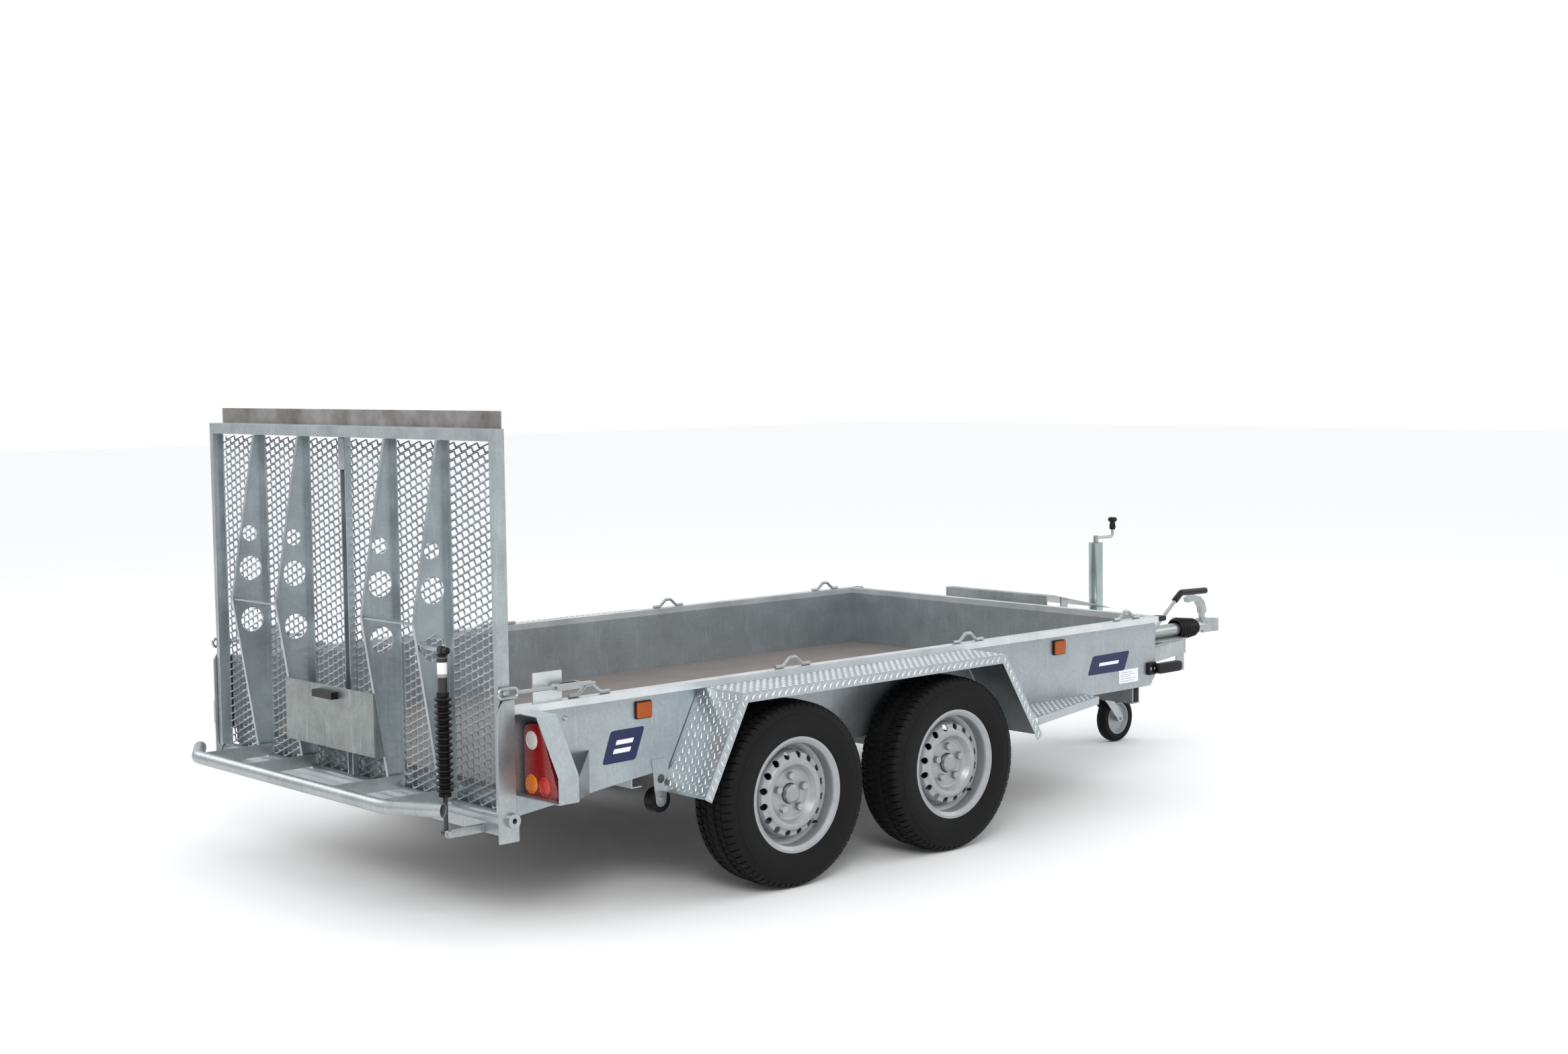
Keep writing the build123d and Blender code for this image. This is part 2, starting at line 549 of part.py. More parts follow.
def roller_hanger():
    """Right hanger plate with a tie hole and the roller's bolt."""
    y_out = -GUARD_INNER_Y
    plate = plate_xz([(525, 439), (593, 439), (HANGER_X + 20, HANGER_PIN_Z),
                      (HANGER_X - 20, HANGER_PIN_Z)], y_out, -PANEL_Y)
    plate = plate + rod_y(HANGER_X, HANGER_PIN_Z, y_out, -PANEL_Y, 20.0)
    plate = plate - rod_y(HANGER_X, HANGER_HOLE_Z, y_out - 5, -PANEL_Y + 5, HANGER_HOLE_R)
    bolt = rod_y(HANGER_X, HANGER_PIN_Z, y_out - 6, -PANEL_Y + ROLLER_WIDTH + 8, HANGER_PIN_R)
    nut = rod_y(HANGER_X, HANGER_PIN_Z, -PANEL_Y + ROLLER_WIDTH + 3, -PANEL_Y + ROLLER_WIDTH + 9,
                10.0)
    head = rod_y(HANGER_X, HANGER_PIN_Z, y_out - 6, y_out, 10.0)
    return (plate + bolt + nut + head).solid()


def roller():
    """Right support roller, running on the hanger's bolt."""
    y0 = -PANEL_Y + 1.0
    ring = rod_y(HANGER_X, HANGER_PIN_Z, y0, y0 + ROLLER_WIDTH, ROLLER_R)
    return ring - rod_y(HANGER_X, HANGER_PIN_Z, y0 - 5, y0 + ROLLER_WIDTH + 5, HANGER_PIN_R + RUN)


# ---------------------------------------------------------------- ramp
def ramp_frame():
    """Two channel stiles, top channel, hinge tube with its end pins, latch pins and lip."""
    z_tube = HINGE_Z + HINGE_TUBE_R - 3
    stile = block(RAMP_REAR_X, RAMP_FRONT_X, -RAMP_HALF_WIDTH, STILE_FLANGE - RAMP_HALF_WIDTH,
                  z_tube, RAMP_TOP)
    stile = stile - block(RAMP_REAR_X + 4, RAMP_FRONT_X - 4, 4 - RAMP_HALF_WIDTH,
                          STILE_FLANGE - RAMP_HALF_WIDTH, z_tube, RAMP_TOP - 4)
    latch_pin = rod_y(-30, LATCH_Z, -RAMP_HALF_WIDTH - 5, -RAMP_HALF_WIDTH, 7.0)
    half = stile + latch_pin
    top = block(RAMP_REAR_X, RAMP_FRONT_X, -RAMP_HALF_WIDTH, RAMP_HALF_WIDTH,
                RAMP_TOP - TOP_CHANNEL, RAMP_TOP)
    top = top - block(RAMP_REAR_X + 4, RAMP_FRONT_X - 4, 4 - RAMP_HALF_WIDTH,
                      RAMP_HALF_WIDTH - 4, RAMP_TOP - TOP_CHANNEL, RAMP_TOP - 4)
    tube = rod_y(HINGE_X, HINGE_Z, -RAMP_HALF_WIDTH, RAMP_HALF_WIDTH, HINGE_TUBE_R)
    pin_y = POST_Y + POST_THICK + 14
    pin = rod_y(HINGE_X, HINGE_Z, -pin_y, pin_y, HINGE_PIN_R)
    bore = rod_y(HINGE_X, HINGE_Z, -pin_y - 5, pin_y + 5, 8.0)
    frame = (half + half.mirror(Plane.XZ) + top + tube + pin - bore).solid()
    lip = block(RAMP_FRONT_X, RAMP_FRONT_X + 5, -LIP_HALF_WIDTH, LIP_HALF_WIDTH,
                RAMP_TOP - 30, LIP_TOP)
    return [frame, lip]


def ramp_mesh():
    """Infill of the ramp: closed sheet with the mass of the expanded metal."""
    half = RAMP_HALF_WIDTH - STILE_FLANGE - 0.5
    return [block(RIB_ROOT_X, RIB_ROOT_X + MESH_SHEET, -half, half,
                  HINGE_Z + HINGE_TUBE_R + 0.5, RIB_TOP_Z)]


def ramp_rib(y):
    """One rib: kinked web with lightening holes, a folded edge and a root flange."""
    x = RIB_ROOT_X
    edge = [(x - RIB_FOOT_DEPTH, RIB_FOOT_Z), (x - RIB_KINK_DEPTH, RIB_KINK_Z),
            (x - RIB_TOP_DEPTH, RIB_TOP_Z)]
    web = plate_xz([(x, RIB_FOOT_Z)] + edge + [(x, RIB_TOP_Z)], y - 1.5, y + 1.5)
    for z, radius in RIB_HOLES:
        web = web - rod_y(x - 55, z, y - 5, y + 5, radius)
    fold = plate_xz(edge + offset_inside(edge, SHEET)[::-1], y - RIB_FOLD, y - 1.5)
    root = block(x - SHEET, x, y - 25, y - 1.5, RIB_FOOT_Z, RIB_TOP_Z)
    return (web + fold + root).solid()


def rib_tie(y0, y1):
    """Folded tie between the outer edges of a pair of ribs at the kink."""
    x = RIB_ROOT_X - RIB_KINK_DEPTH
    return block(x + 4, x + 34, y0 + 1.5, y1 - RIB_FOLD, RIB_KINK_Z - 4, RIB_KINK_Z)


def ramp_ribs():
    """Four ribs, their ties, and the bolt that carries the strut's upper eye."""
    ribs = [ramp_rib(y) for y in RIB_Y]
    ties = [rib_tie(RIB_Y[1], RIB_Y[0]), rib_tie(RIB_Y[3], RIB_Y[2])]
    x, z = STRUT_HIGH
    lug = rod_y(x, z, STRUT_Y + 12, RIB_Y[3] - 1.5, 8.0)
    boss = rod_y(x, z, RIB_Y[3] - 12, RIB_Y[3] - 1.5, 14.0)
    return ribs + ties + [(lug + boss).solid()]


def ramp_centre_upright():
    """Centre channel of the ramp with its top clip."""
    x = RIB_ROOT_X
    channel = block(x - 22, x, -16, 16, RIB_FOOT_Z, RIB_TOP_Z)
    channel = channel - block(x - 22, x - 4, -12, 12, RIB_FOOT_Z, RIB_TOP_Z)
    return [channel.solid()]


def bumper_path():
    """Corner points of the bumper tube from the right end to the left end."""
    x_end, y_end = BUMPER_END
    right = [(x_end, -y_end, BUMPER_Z), (BUMPER_X, -BUMPER_STRAIGHT_Y, BUMPER_Z)]
    return right + [(x, -y, z) for x, y, z in right[::-1]]


def ramp_bumper():
    """Bent bumper tube with the four flat arms that carry it."""
    points = bumper_path()
    tube = bent_bar(points, 90.0, BUMPER_R)
    lead = [(BUMPER_END[0] + 4, -BUMPER_END[1] - 7, BUMPER_Z)]
    tail = [(BUMPER_END[0] + 4, BUMPER_END[1] + 7, BUMPER_Z)]
    tube = tube - bent_bar(lead + points[1:-1] + tail, 90.0, BUMPER_R - 3)
    pieces = [tube.solid()]
    for y in RIB_Y:
        arm = block(BUMPER_X, RIB_ROOT_X - SHEET, y - 14, y - 11, BUMPER_Z - BUMPER_ARM / 2,
                    BUMPER_Z + BUMPER_ARM / 2)
        arm = arm - rod_y(BUMPER_X, BUMPER_Z, y - 20, y, BUMPER_R + AIR * 2)
        arm = arm - rod_y(HINGE_X, HINGE_Z, y - 20, y, HINGE_TUBE_R + AIR)
        pieces.append(arm.solid())
    return pieces


def number_plate_panel():
    """Flat number plate panel across the two inner ribs, on wedge-shaped stand-off strips."""
    panel = block(PLATE_X - 2, PLATE_X, -PLATE_HALF, PLATE_HALF, PLATE_LOW, PLATE_HIGH)
    lean = (RIB_KINK_DEPTH - RIB_FOOT_DEPTH) / (RIB_KINK_Z - RIB_FOOT_Z)
    edge = [(RIB_ROOT_X - RIB_FOOT_DEPTH - lean * (z - RIB_FOOT_Z), z)
            for z in (PLATE_HIGH, PLATE_LOW)]
    outline = [(PLATE_X, PLATE_LOW), (PLATE_X, PLATE_HIGH)] + edge
    for y in RIB_Y[1:3]:
        panel = panel + plate_xz(outline, y - RIB_FOLD, y - 1.5)
    return [panel.solid()]


def number_plate_lamp():
    """Small lamp clipped over the panel's face."""
    return [block(PLATE_X - 26, PLATE_X - 2, -58, 58, PLATE_HIGH - 37, PLATE_HIGH - 15)]


# ---------------------------------------------------------------- spring strut
def strut_tube():
    """Upper cylinder of the strut with its eye."""
    x, z = STRUT_HIGH
    low = z - STRUT_TUBE_LENGTH
    tube = rod((x, STRUT_Y, low), (x, STRUT_Y, z - 22), STRUT_TUBE_R)
    tube = tube - rod((x, STRUT_Y, low - 5), (x, STRUT_Y, z - 60), STRUT_ROD_R + RUN)
    collar = rod((x, STRUT_Y, z - 34), (x, STRUT_Y, z - 22), STRUT_TUBE_R + 2)
    eye = rod_y(x, z, STRUT_Y - 9, STRUT_Y + 9, 12.0)
    neck = rod((x, STRUT_Y, z - 24), (x, STRUT_Y, z - 6), 8.0)
    head = rod_y(x, z, STRUT_Y - 20, STRUT_Y - 9, 9.0)
    return [(tube + collar + eye + neck + head).solid()]


def strut_rod():
    """Piston rod with its lower eye."""
    x, z = STRUT_LOW
    shaft = rod((x, STRUT_Y, z + 8), (x, STRUT_Y, z + 250), STRUT_ROD_R)
    eye = rod_y(x, z, STRUT_Y - 9, STRUT_Y + 9, 12.0)
    eye = eye + shaft
    return [(eye - rod_y(x, z, STRUT_Y - 15, STRUT_Y + 15, STRUT_BOLT_R + RUN)).solid()]


def strut_bellows():
    """Rubber bellows around the lower half of the strut."""
    low, high = BELLOWS_LOW, BELLOWS_HIGH
    bore = STRUT_TUBE_R + AIR
    pitch = (high - low) / BELLOWS_RINGS
    outline = [(bore, low)]
    for i in range(BELLOWS_RINGS):
        z = low + i * pitch
        outline += [(BELLOWS_R - 8, z), (BELLOWS_R, z + pitch * 0.35), (BELLOWS_R, z + pitch * 0.65)]
    outline += [(BELLOWS_R - 8, high), (bore, high)]
    body = turned_z(outline, STRUT_HIGH[0], STRUT_Y)
    collar = turned_z([(STRUT_ROD_R + AIR, low - 26), (12, low - 26), (12, low - 8),
                       (BELLOWS_R - 8, low), (bore, low), (STRUT_ROD_R + AIR, low - 4)],
                      STRUT_HIGH[0], STRUT_Y)
    return [(body + collar).solid()]


# ---------------------------------------------------------------- latches
def latch_lever():
    """Right latch lever: barrel, fork and the two bars of its handle."""
    x = LATCH_PIVOT_X
    y0, y1 = -LATCH_Y - 15, -LATCH_Y + 15
    barrel = rod_y(x, LATCH_Z, y0, y1, LATCH_BARREL_R)
    cheeks = [block(x - 6, x + 75, y, y + 4, LATCH_Z - 10, LATCH_Z + 10)
              for y in (y0, y1 - 4)]
    bars = [rod((x + 70, y, LATCH_Z), (x + 127, y, LATCH_Z), 5.0) for y in (y0 + 5, y1 - 5)]
    tie = block(x + 66, x + 75, y0, y1, LATCH_Z - 10, LATCH_Z + 10)
    stud = rod_y(x, LATCH_Z, y1, -LATCH_STUD_Y, 6.0)
    lever = barrel + cheeks[0] + cheeks[1] + bars[0] + bars[1] + tie + stud
    slot = block(x + LATCH_BARREL_R + 0.5, x + 66, y0 + 4, y1 - 4, LATCH_Z - 12, LATCH_Z + 12)
    return (lever - slot).solid()


def latch_eye():
    """Right latch eye: oval ring on a threaded rod with its end ball in the barrel."""
    x = LATCH_PIVOT_X
    ring_x = LATCH_RING_X
    half = 21.0
    points = [(ring_x, -LATCH_Y, LATCH_Z - 13.5), (ring_x + half + 12, -LATCH_Y, LATCH_Z - 13.5),
              (ring_x + half + 12, -LATCH_Y, LATCH_Z + 13.5),
              (ring_x - half - 12, -LATCH_Y, LATCH_Z + 13.5),
              (ring_x - half - 12, -LATCH_Y, LATCH_Z - 13.5),
              (ring_x, -LATCH_Y, LATCH_Z - 13.5)]
    path = FilletPolyline(*points[1:-1], radius=13.0, close=True)
    section = Plane(origin=path @ 0, z_dir=path % 0) * Circle(5.0)
    ring = sweep(section, path=path).solid()
    shank = rod((ring_x + half + 14, -LATCH_Y, LATCH_Z),
                (x - LATCH_BARREL_R - 0.5, -LATCH_Y, LATCH_Z), 6.0)
    return (ring + shank).solid()


# ---------------------------------------------------------------- running gear
def axle_tubes():
    """Square rubber-torsion axle tubes under the floor grid, bored for the arm shafts."""
    pieces = []
    for wheel_x in AXLE_X:
        x = wheel_x + ARM_TRAIL
        end = ARM_INNER_Y - 3
        tube = block(x - 30, x + 30, -end, end, PIVOT_Z - 30, PIVOT_Z + 30)
        for side in (-1, 1):
            tube = tube - rod_y(x, PIVOT_Z, side * (SHAFT_INNER_Y - 3), side * ARM_OUTER_Y,
                                SHAFT_ARM_R + RUN)
        pieces.append(tube)
    return pieces


def suspension_arm(wheel_x, side):
    """Trailing arm with its torsion shaft and stub axle."""
    x = wheel_x + ARM_TRAIL
    z_wheel = WHEEL_R
    y_in, y_out = side * ARM_INNER_Y, side * ARM_OUTER_Y
    bar = plate_xz([(wheel_x, z_wheel - 24), (x, PIVOT_Z - 28), (x, PIVOT_Z + 28),
                    (wheel_x, z_wheel + 24)], y_in, y_out)
    bar = bar + rod_y(x, PIVOT_Z, y_in, y_out, 28.0) + rod_y(wheel_x, z_wheel, y_in, y_out, 24.0)
    shaft = rod_y(x, PIVOT_Z, side * SHAFT_INNER_Y, y_in, SHAFT_ARM_R)
    stub = rod_y(wheel_x, z_wheel, y_out, side * (RIM_OUTER_Y - 48), STUB_R)
    plate = rod_y(wheel_x, z_wheel, side * BACKPLATE_Y, side * (BACKPLATE_Y + 4), DRUM_R + 4)
    return [(bar + shaft + stub + plate).solid()]


def wheel_rim(wheel_x, side):
    """Pressed steel wheel: rim barrel and dished disc with vent and bolt holes."""
    y = RIM_OUTER_Y
    barrel = [(RIM_R, 0), (RIM_R, 4), (176, 7), (167.5, 10), (165, 14), (165, 50), (147, 60),
              (147, 98), (165, 108), (165, 146), (167.5, 150), (176, 153), (RIM_R, 156),
              (RIM_R, RIM_WIDTH), (174, RIM_WIDTH), (163, 150), (161, 146), (161, 111), (143, 101),
              (143, 57), (161, 47), (161, 14), (163, 8), (174, 0)]
    disc = [(143, 64), (139, 64), (137, 34), (131, 24), (118, 20), (110, 14), (102, 12),
            (94, 15), (82, 32), (74, BOLT_FACE), (33, BOLT_FACE), (33, BOLT_FACE + DISC),
            (76, BOLT_FACE + DISC), (86, 34), (97, 19), (102, 16), (108, 18), (117, 24),
            (129, 28), (133, 37), (135, 68), (143, 68)]
    rim = turned_y([(r, y - d) for r, d in barrel], wheel_x, WHEEL_R, side)
    rim = rim + turned_y([(r, y - d) for r, d in disc], wheel_x, WHEEL_R, side)
    for i in range(VENT_COUNT):
        turn = 2 * math.pi * (i + 0.5) / VENT_COUNT
        x = wheel_x + 124 * math.cos(turn)
        z = WHEEL_R + 124 * math.sin(turn)
        rim = rim - rod_y(x, z, side * (y - 45), side * (y - 5), 11.0)
    for x, z in bolt_places(wheel_x):
        rim = rim - rod_y(x, z, side * (y - 50), side * (y - 20), BOLT_R + AIR)
    return [rim.solid()]


def bolt_places(wheel_x):
    """Centres of the five wheel bolts."""
    places = []
    for i in range(5):
        turn = math.radians(90 + 72 * i)
        places.append((wheel_x + BOLT_CIRCLE_R * math.cos(turn),
                       WHEEL_R + BOLT_CIRCLE_R * math.sin(turn)))
    return places


def wheel_hub(wheel_x, side):
    """Brake drum and hub as one piece, with five bolts and a grease cap."""
    y = RIM_OUTER_Y
    face = BOLT_FACE + DISC
    drum = [(32, face), (DRUM_R, face), (DRUM_R, 148), (DRUM_R - 8, 148),
            (DRUM_R - 8, face + 8), (30, face + 8), (30, 120), (STUB_R + RUN, 120),
            (STUB_R + RUN, face + 4), (32, face + 4)]
    hub = turned_y([(r, y - d) for r, d in drum], wheel_x, WHEEL_R, side)
    cap = turned_y([(0, y - 18), (22, y - 18), (29, y - 23), (30, y - 30), (30, y - face),
                    (32, y - face), (32, y - face - 4), (0, y - face - 4)],
                   wheel_x, WHEEL_R, side)
    pieces = [(hub + cap).solid()]
    for x, z in bolt_places(wheel_x):
        shank = rod_y(x, z, side * (y - face), side * (y - BOLT_FACE + 2), BOLT_R)
        head = rod_y(x, z, side * (y - BOLT_FACE), side * (y - BOLT_FACE + 14), 11.0)
        pieces.append((shank + head).solid())
    return pieces


def wheel_tyre(wheel_x, side):
    """Hollow tyre with shoulders, seated on the rim's bead seats."""
    mid = RIM_OUTER_Y - RIM_WIDTH / 2
    half = TYRE_WIDTH / 2
    outline = [(165.3, mid - 66), (184, mid - 71), (205, mid - half + 3), (228, mid - half),
               (255, mid - half + 4), (280, mid - half + 18), (290, mid - 62), (WHEEL_R, mid - 48),
               (WHEEL_R, mid + 48), (290, mid + 62), (280, mid + half - 18),
               (255, mid + half - 4), (228, mid + half), (205, mid + half - 3),
               (184, mid + 71), (165.3, mid + 66)]
    cavity = [(165.3, 50), (188, 60), (212, half - 13), (234, half - 10), (256, half - 14),
              (272, 62), (282, 46)]
    outline += [(r, mid + y) for r, y in cavity] + [(r, mid - y) for r, y in cavity[::-1]]
    return [turned_y(outline, wheel_x, WHEEL_R, side)]


# ---------------------------------------------------------------- jockey wheel
def jockey_outer_tube():
    """Outer tube of the jockey wheel with its clamp on the cross plate."""
    axis_lo = (JOCKEY_X, JOCKEY_Y, JOCKEY_LOW)
    tube = rod(axis_lo, (JOCKEY_X, JOCKEY_Y, JOCKEY_TOP), JOCKEY_TUBE_R)
    tube = tube - rod((JOCKEY_X, JOCKEY_Y, JOCKEY_LOW - 50), (JOCKEY_X, JOCKEY_Y, JOCKEY_TOP - 5),
                      JOCKEY_INNER_R + RUN)
    tube = tube - rod(axis_lo, (JOCKEY_X, JOCKEY_Y, JOCKEY_TOP + 50), JOCKEY_SPINDLE_R + RUN)
    z0 = DRAWBAR_TOP + 5
    clamp = rod((JOCKEY_X, JOCKEY_Y, z0), (JOCKEY_X, JOCKEY_Y, z0 + 40), JOCKEY_TUBE_R + 8)
    clamp = clamp + block(JOCKEY_X - 55, JOCKEY_X + 55, JOCKEY_Y - 6, JOCKEY_Y + 6, z0, z0 + 40)
    clamp = clamp - rod((JOCKEY_X, JOCKEY_Y, z0 - 5), (JOCKEY_X, JOCKEY_Y, z0 + 60),
                        JOCKEY_TUBE_R)
    return [(tube + clamp).solid()]


def jockey_inner_tube():
    """Inner tube that runs in the outer one."""
    lo = (JOCKEY_X, JOCKEY_Y, CROWN_TOP + AIR)
    tube = rod(lo, (JOCKEY_X, JOCKEY_Y, 560), JOCKEY_INNER_R)
    return [tube - rod((JOCKEY_X, JOCKEY_Y, CROWN_TOP + 27), (JOCKEY_X, JOCKEY_Y, 570),
                       JOCKEY_INNER_R - 4)]


def jockey_crank():
    """Crank: spindle, cross arm and upright."""
    top = JOCKEY_TOP
    spindle = rod((JOCKEY_X, JOCKEY_Y, top - 60), (JOCKEY_X, JOCKEY_Y, top + 2),
                  JOCKEY_SPINDLE_R)
    stub = rod((JOCKEY_X, JOCKEY_Y, top + 0.5), (JOCKEY_X, JOCKEY_Y, top + 30), 11.0)
    arm = bent_bar([(JOCKEY_X, JOCKEY_Y, top + 20), (JOCKEY_X + CRANK_REACH, JOCKEY_Y, top + 20),
                    (JOCKEY_X + CRANK_REACH, JOCKEY_Y, top + 90)], 12.0, 6.0)
    return [(spindle + stub + arm).solid()]


def jockey_crank_knob():
    """Knob on the crank's upright."""
    z = JOCKEY_TOP + 50
    return [turned_z([(6, z), (11, z), (14, z + 10), (11, z + 30), (19, z + 38), (20, z + 46),
                      (14, z + 52), (0, z + 52), (0, z + 41), (6, z + 41)],
                     JOCKEY_X + CRANK_REACH, JOCKEY_Y)]


def jockey_fork():
    """Swivelling fork that trails the jockey wheel."""
    wx, wz = JOCKEY_WHEEL
    half = JOCKEY_WHEEL_WIDTH / 2 + 6
    low = CROWN_TOP - 7
    crown = block(JOCKEY_X - 34, JOCKEY_X + 60, JOCKEY_Y - half - FORK_ARM,
                  JOCKEY_Y + half + FORK_ARM, low, CROWN_TOP)
    arms = []
    for y in (JOCKEY_Y - half - FORK_ARM, JOCKEY_Y + half):
        arm = plate_xz([(JOCKEY_X + 5, low), (JOCKEY_X + 60, low), (wx + 14, wz + 8),
                        (wx + 8, wz - 14), (wx - 12, wz - 12)], y, y + FORK_ARM)
        arms.append(arm)
    axle = rod_y(wx, wz, JOCKEY_Y - half - FORK_ARM - 6, JOCKEY_Y + half + FORK_ARM + 6,
                 JOCKEY_AXLE_R)
    return [(crown + arms[0] + arms[1] + axle).solid()]


def jockey_wheel_rim():
    """Pressed rim and hub of the jockey wheel."""
    wx, wz = JOCKEY_WHEEL
    bore, seat = JOCKEY_AXLE_R + RUN, JOCKEY_SEAT_R
    outline = [(bore, -28), (14, -28), (14, -8), (56, -6), (64, -20), (seat, -20), (seat, 20),
               (64, 20), (56, 6), (14, 8), (14, 28), (bore, 28)]
    rim = turned_y([(r, y) for r, y in outline], wx, wz)
    return [rim.moved(Location((0, JOCKEY_Y, 0)))]


def jockey_tyre():
    """Solid rubber tyre of the jockey wheel."""
    wx, wz = JOCKEY_WHEEL
    half = JOCKEY_WHEEL_WIDTH / 2
    bore, tread = JOCKEY_SEAT_R + AIR, JOCKEY_WHEEL_R
    outline = [(bore, -19), (86, -half), (tread - 5, -20), (tread, -8), (tread, 8),
               (tread - 5, 20), (86, half), (bore, 19)]
    tyre = turned_y(outline, wx, wz)
    return [tyre.moved(Location((0, JOCKEY_Y, 0)))]


# ---------------------------------------------------------------- overrun coupling
def overrun_housing():
    """Cast overrun tube on its base plate, with the handbrake pivot."""
    z = COUPLING_Z
    rear, front = HOUSING_REAR_X, HOUSING_FRONT_X
    base = block(rear + 40, front - 10, -78, 78, DRAWBAR_TOP, DRAWBAR_TOP + 6)
    tube = rod((rear, 0, z), (front, 0, z), HOUSING_R)
    rear_ear = block(rear + 30, rear + 110, -20, 20, DRAWBAR_TOP + 6, z)
    pin = rod_y(HANDBRAKE_PIVOT[0], HANDBRAKE_PIVOT[1], -58, -26, HANDBRAKE_PIN_R)
    body = base + tube + rear_ear + pin
    return [(body - rod((rear - 10, 0, z), (front + 10, 0, z), SHAFT_R + RUN)).solid()]


def handbrake_lever():
    """Handbrake lever from its pivot boss to the end inside the grip."""
    px, pz = HANDBRAKE_PIVOT
    y = HANDBRAKE_Y
    boss = rod_y(px, pz, y - 8, y + 8, 18.0)
    arm = bent_bar([(px, y, pz), (GRIP_BEND[0], y, GRIP_BEND[1]),
                    (GRIP_END[0] - 20, y, GRIP_END[1])], 40.0, LEVER_R)
    return [(boss + arm - rod_y(px, pz, y - 20, y + 20, HANDBRAKE_PIN_R + RUN)).solid()]


def handbrake_grip():
    """Moulded grip on the handbrake lever."""
    y = HANDBRAKE_Y
    outer = bent_bar([(GRIP_START[0], y, GRIP_START[1]), (GRIP_BEND[0], y, GRIP_BEND[1]),
                      (GRIP_END[0], y, GRIP_END[1])], 25.0, 14.0)
    return [(outer - handbrake_lever()[0]).solid()]


def overrun_bellows():
    """Rubber bellows between the overrun tube and the coupling head."""
    z = COUPLING_Z
    x0, x1 = HOUSING_FRONT_X - 6, HEAD_X - 32
    crests = 4
    pitch = (x1 - x0 - 16) / crests
    outline = [(x0, HOUSING_R + AIR), (x0, HOUSING_R + 6)]
    for i in range(crests):
        x = x0 + 8 + i * pitch
        height = 55.0 - 5.0 * i
        outline += [(x, 38), (x + pitch * 0.3, height), (x + pitch * 0.7, height)]
    outline += [(x1 - 8, 34), (x1, 32), (x1, SHAFT_R + AIR), (x1 - 10, SHAFT_R + AIR),
                (HOUSING_FRONT_X + 2, HOUSING_R + AIR)]
    return [turned_x(outline, 0, z)]


def coupling_head():
    """Overrun shaft with the coupling head and its ball socket."""
    z, half = COUPLING_Z, COUPLING_HALF
    shaft = rod((SHAFT_REAR_X, 0, z), (HEAD_X + 10, 0, z), SHAFT_R)
    neck = rod((HEAD_X - 30, 0, z), (HEAD_X + 12, 0, z), HOUSING_R - 1)
    body = plate_xz([(HEAD_X, z - half), (COUPLING_X, z - half), (COUPLING_X, z + half),
                     (COUPLING_X - 45, z + 36), (HEAD_X, z + 30)], -26, 26)
    cup = rod((COUPLING_X, 0, z - half), (COUPLING_X, 0, z + half), COUPLING_NOSE_R)
    head = shaft + neck + body + cup
    ball = Solid.make_sphere(BALL_R + AIR, Plane(origin=(COUPLING_X, 0, z)))
    throat = rod((COUPLING_X, 0, z - 40), (COUPLING_X, 0, z), BALL_R + AIR)
    pivot_x = HANDLE_PIVOT[0]
    slot = block(pivot_x - 16, pivot_x + 30, -7, 7, z + 4, z + 60)
    pin = rod_y(pivot_x, HANDLE_PIVOT[1], -29, 29, HANDLE_PIN_R)
    return [((head - ball - throat - slot) + pin).solid()]


def coupling_handle():
    """Release handle of the coupling head."""
    px, pz = HANDLE_PIVOT
    outline = [(px - 12, pz - 10), (px + 10, pz - 10), (px + 14, pz + 60), (px, pz + 92),
               (px - 30, pz + 116), (px - 80, pz + 128), (px - 122, pz + 116),
               (px - 114, pz + 96), (px - 80, pz + 102), (px - 42, pz + 90), (px - 22, pz + 66)]
    grip = plate_xz(outline, -14, 14)
    foot = block(px - 20, px + 20, -20, -6.7, pz - 12, pz + HANDLE_NECK)
    grip = grip - foot - foot.mirror(Plane.XZ)
    grip = grip - rod_y(px, pz, -20, 20, HANDLE_PIN_R + RUN)
    return [grip.solid()]


# ---------------------------------------------------------------- assembly
def place(pieces):
    """Pieces moved from the layout frame to the exported frame, as one compound."""
    shift = Location((-ORIGIN_X, 0, 0))
    return Compound([piece.moved(shift) for piece in pieces])


def sided(solid, side):
    """A right-hand piece, or its mirror image for the left."""
    return solid if side < 0 else solid.mirror(Plane.XZ)


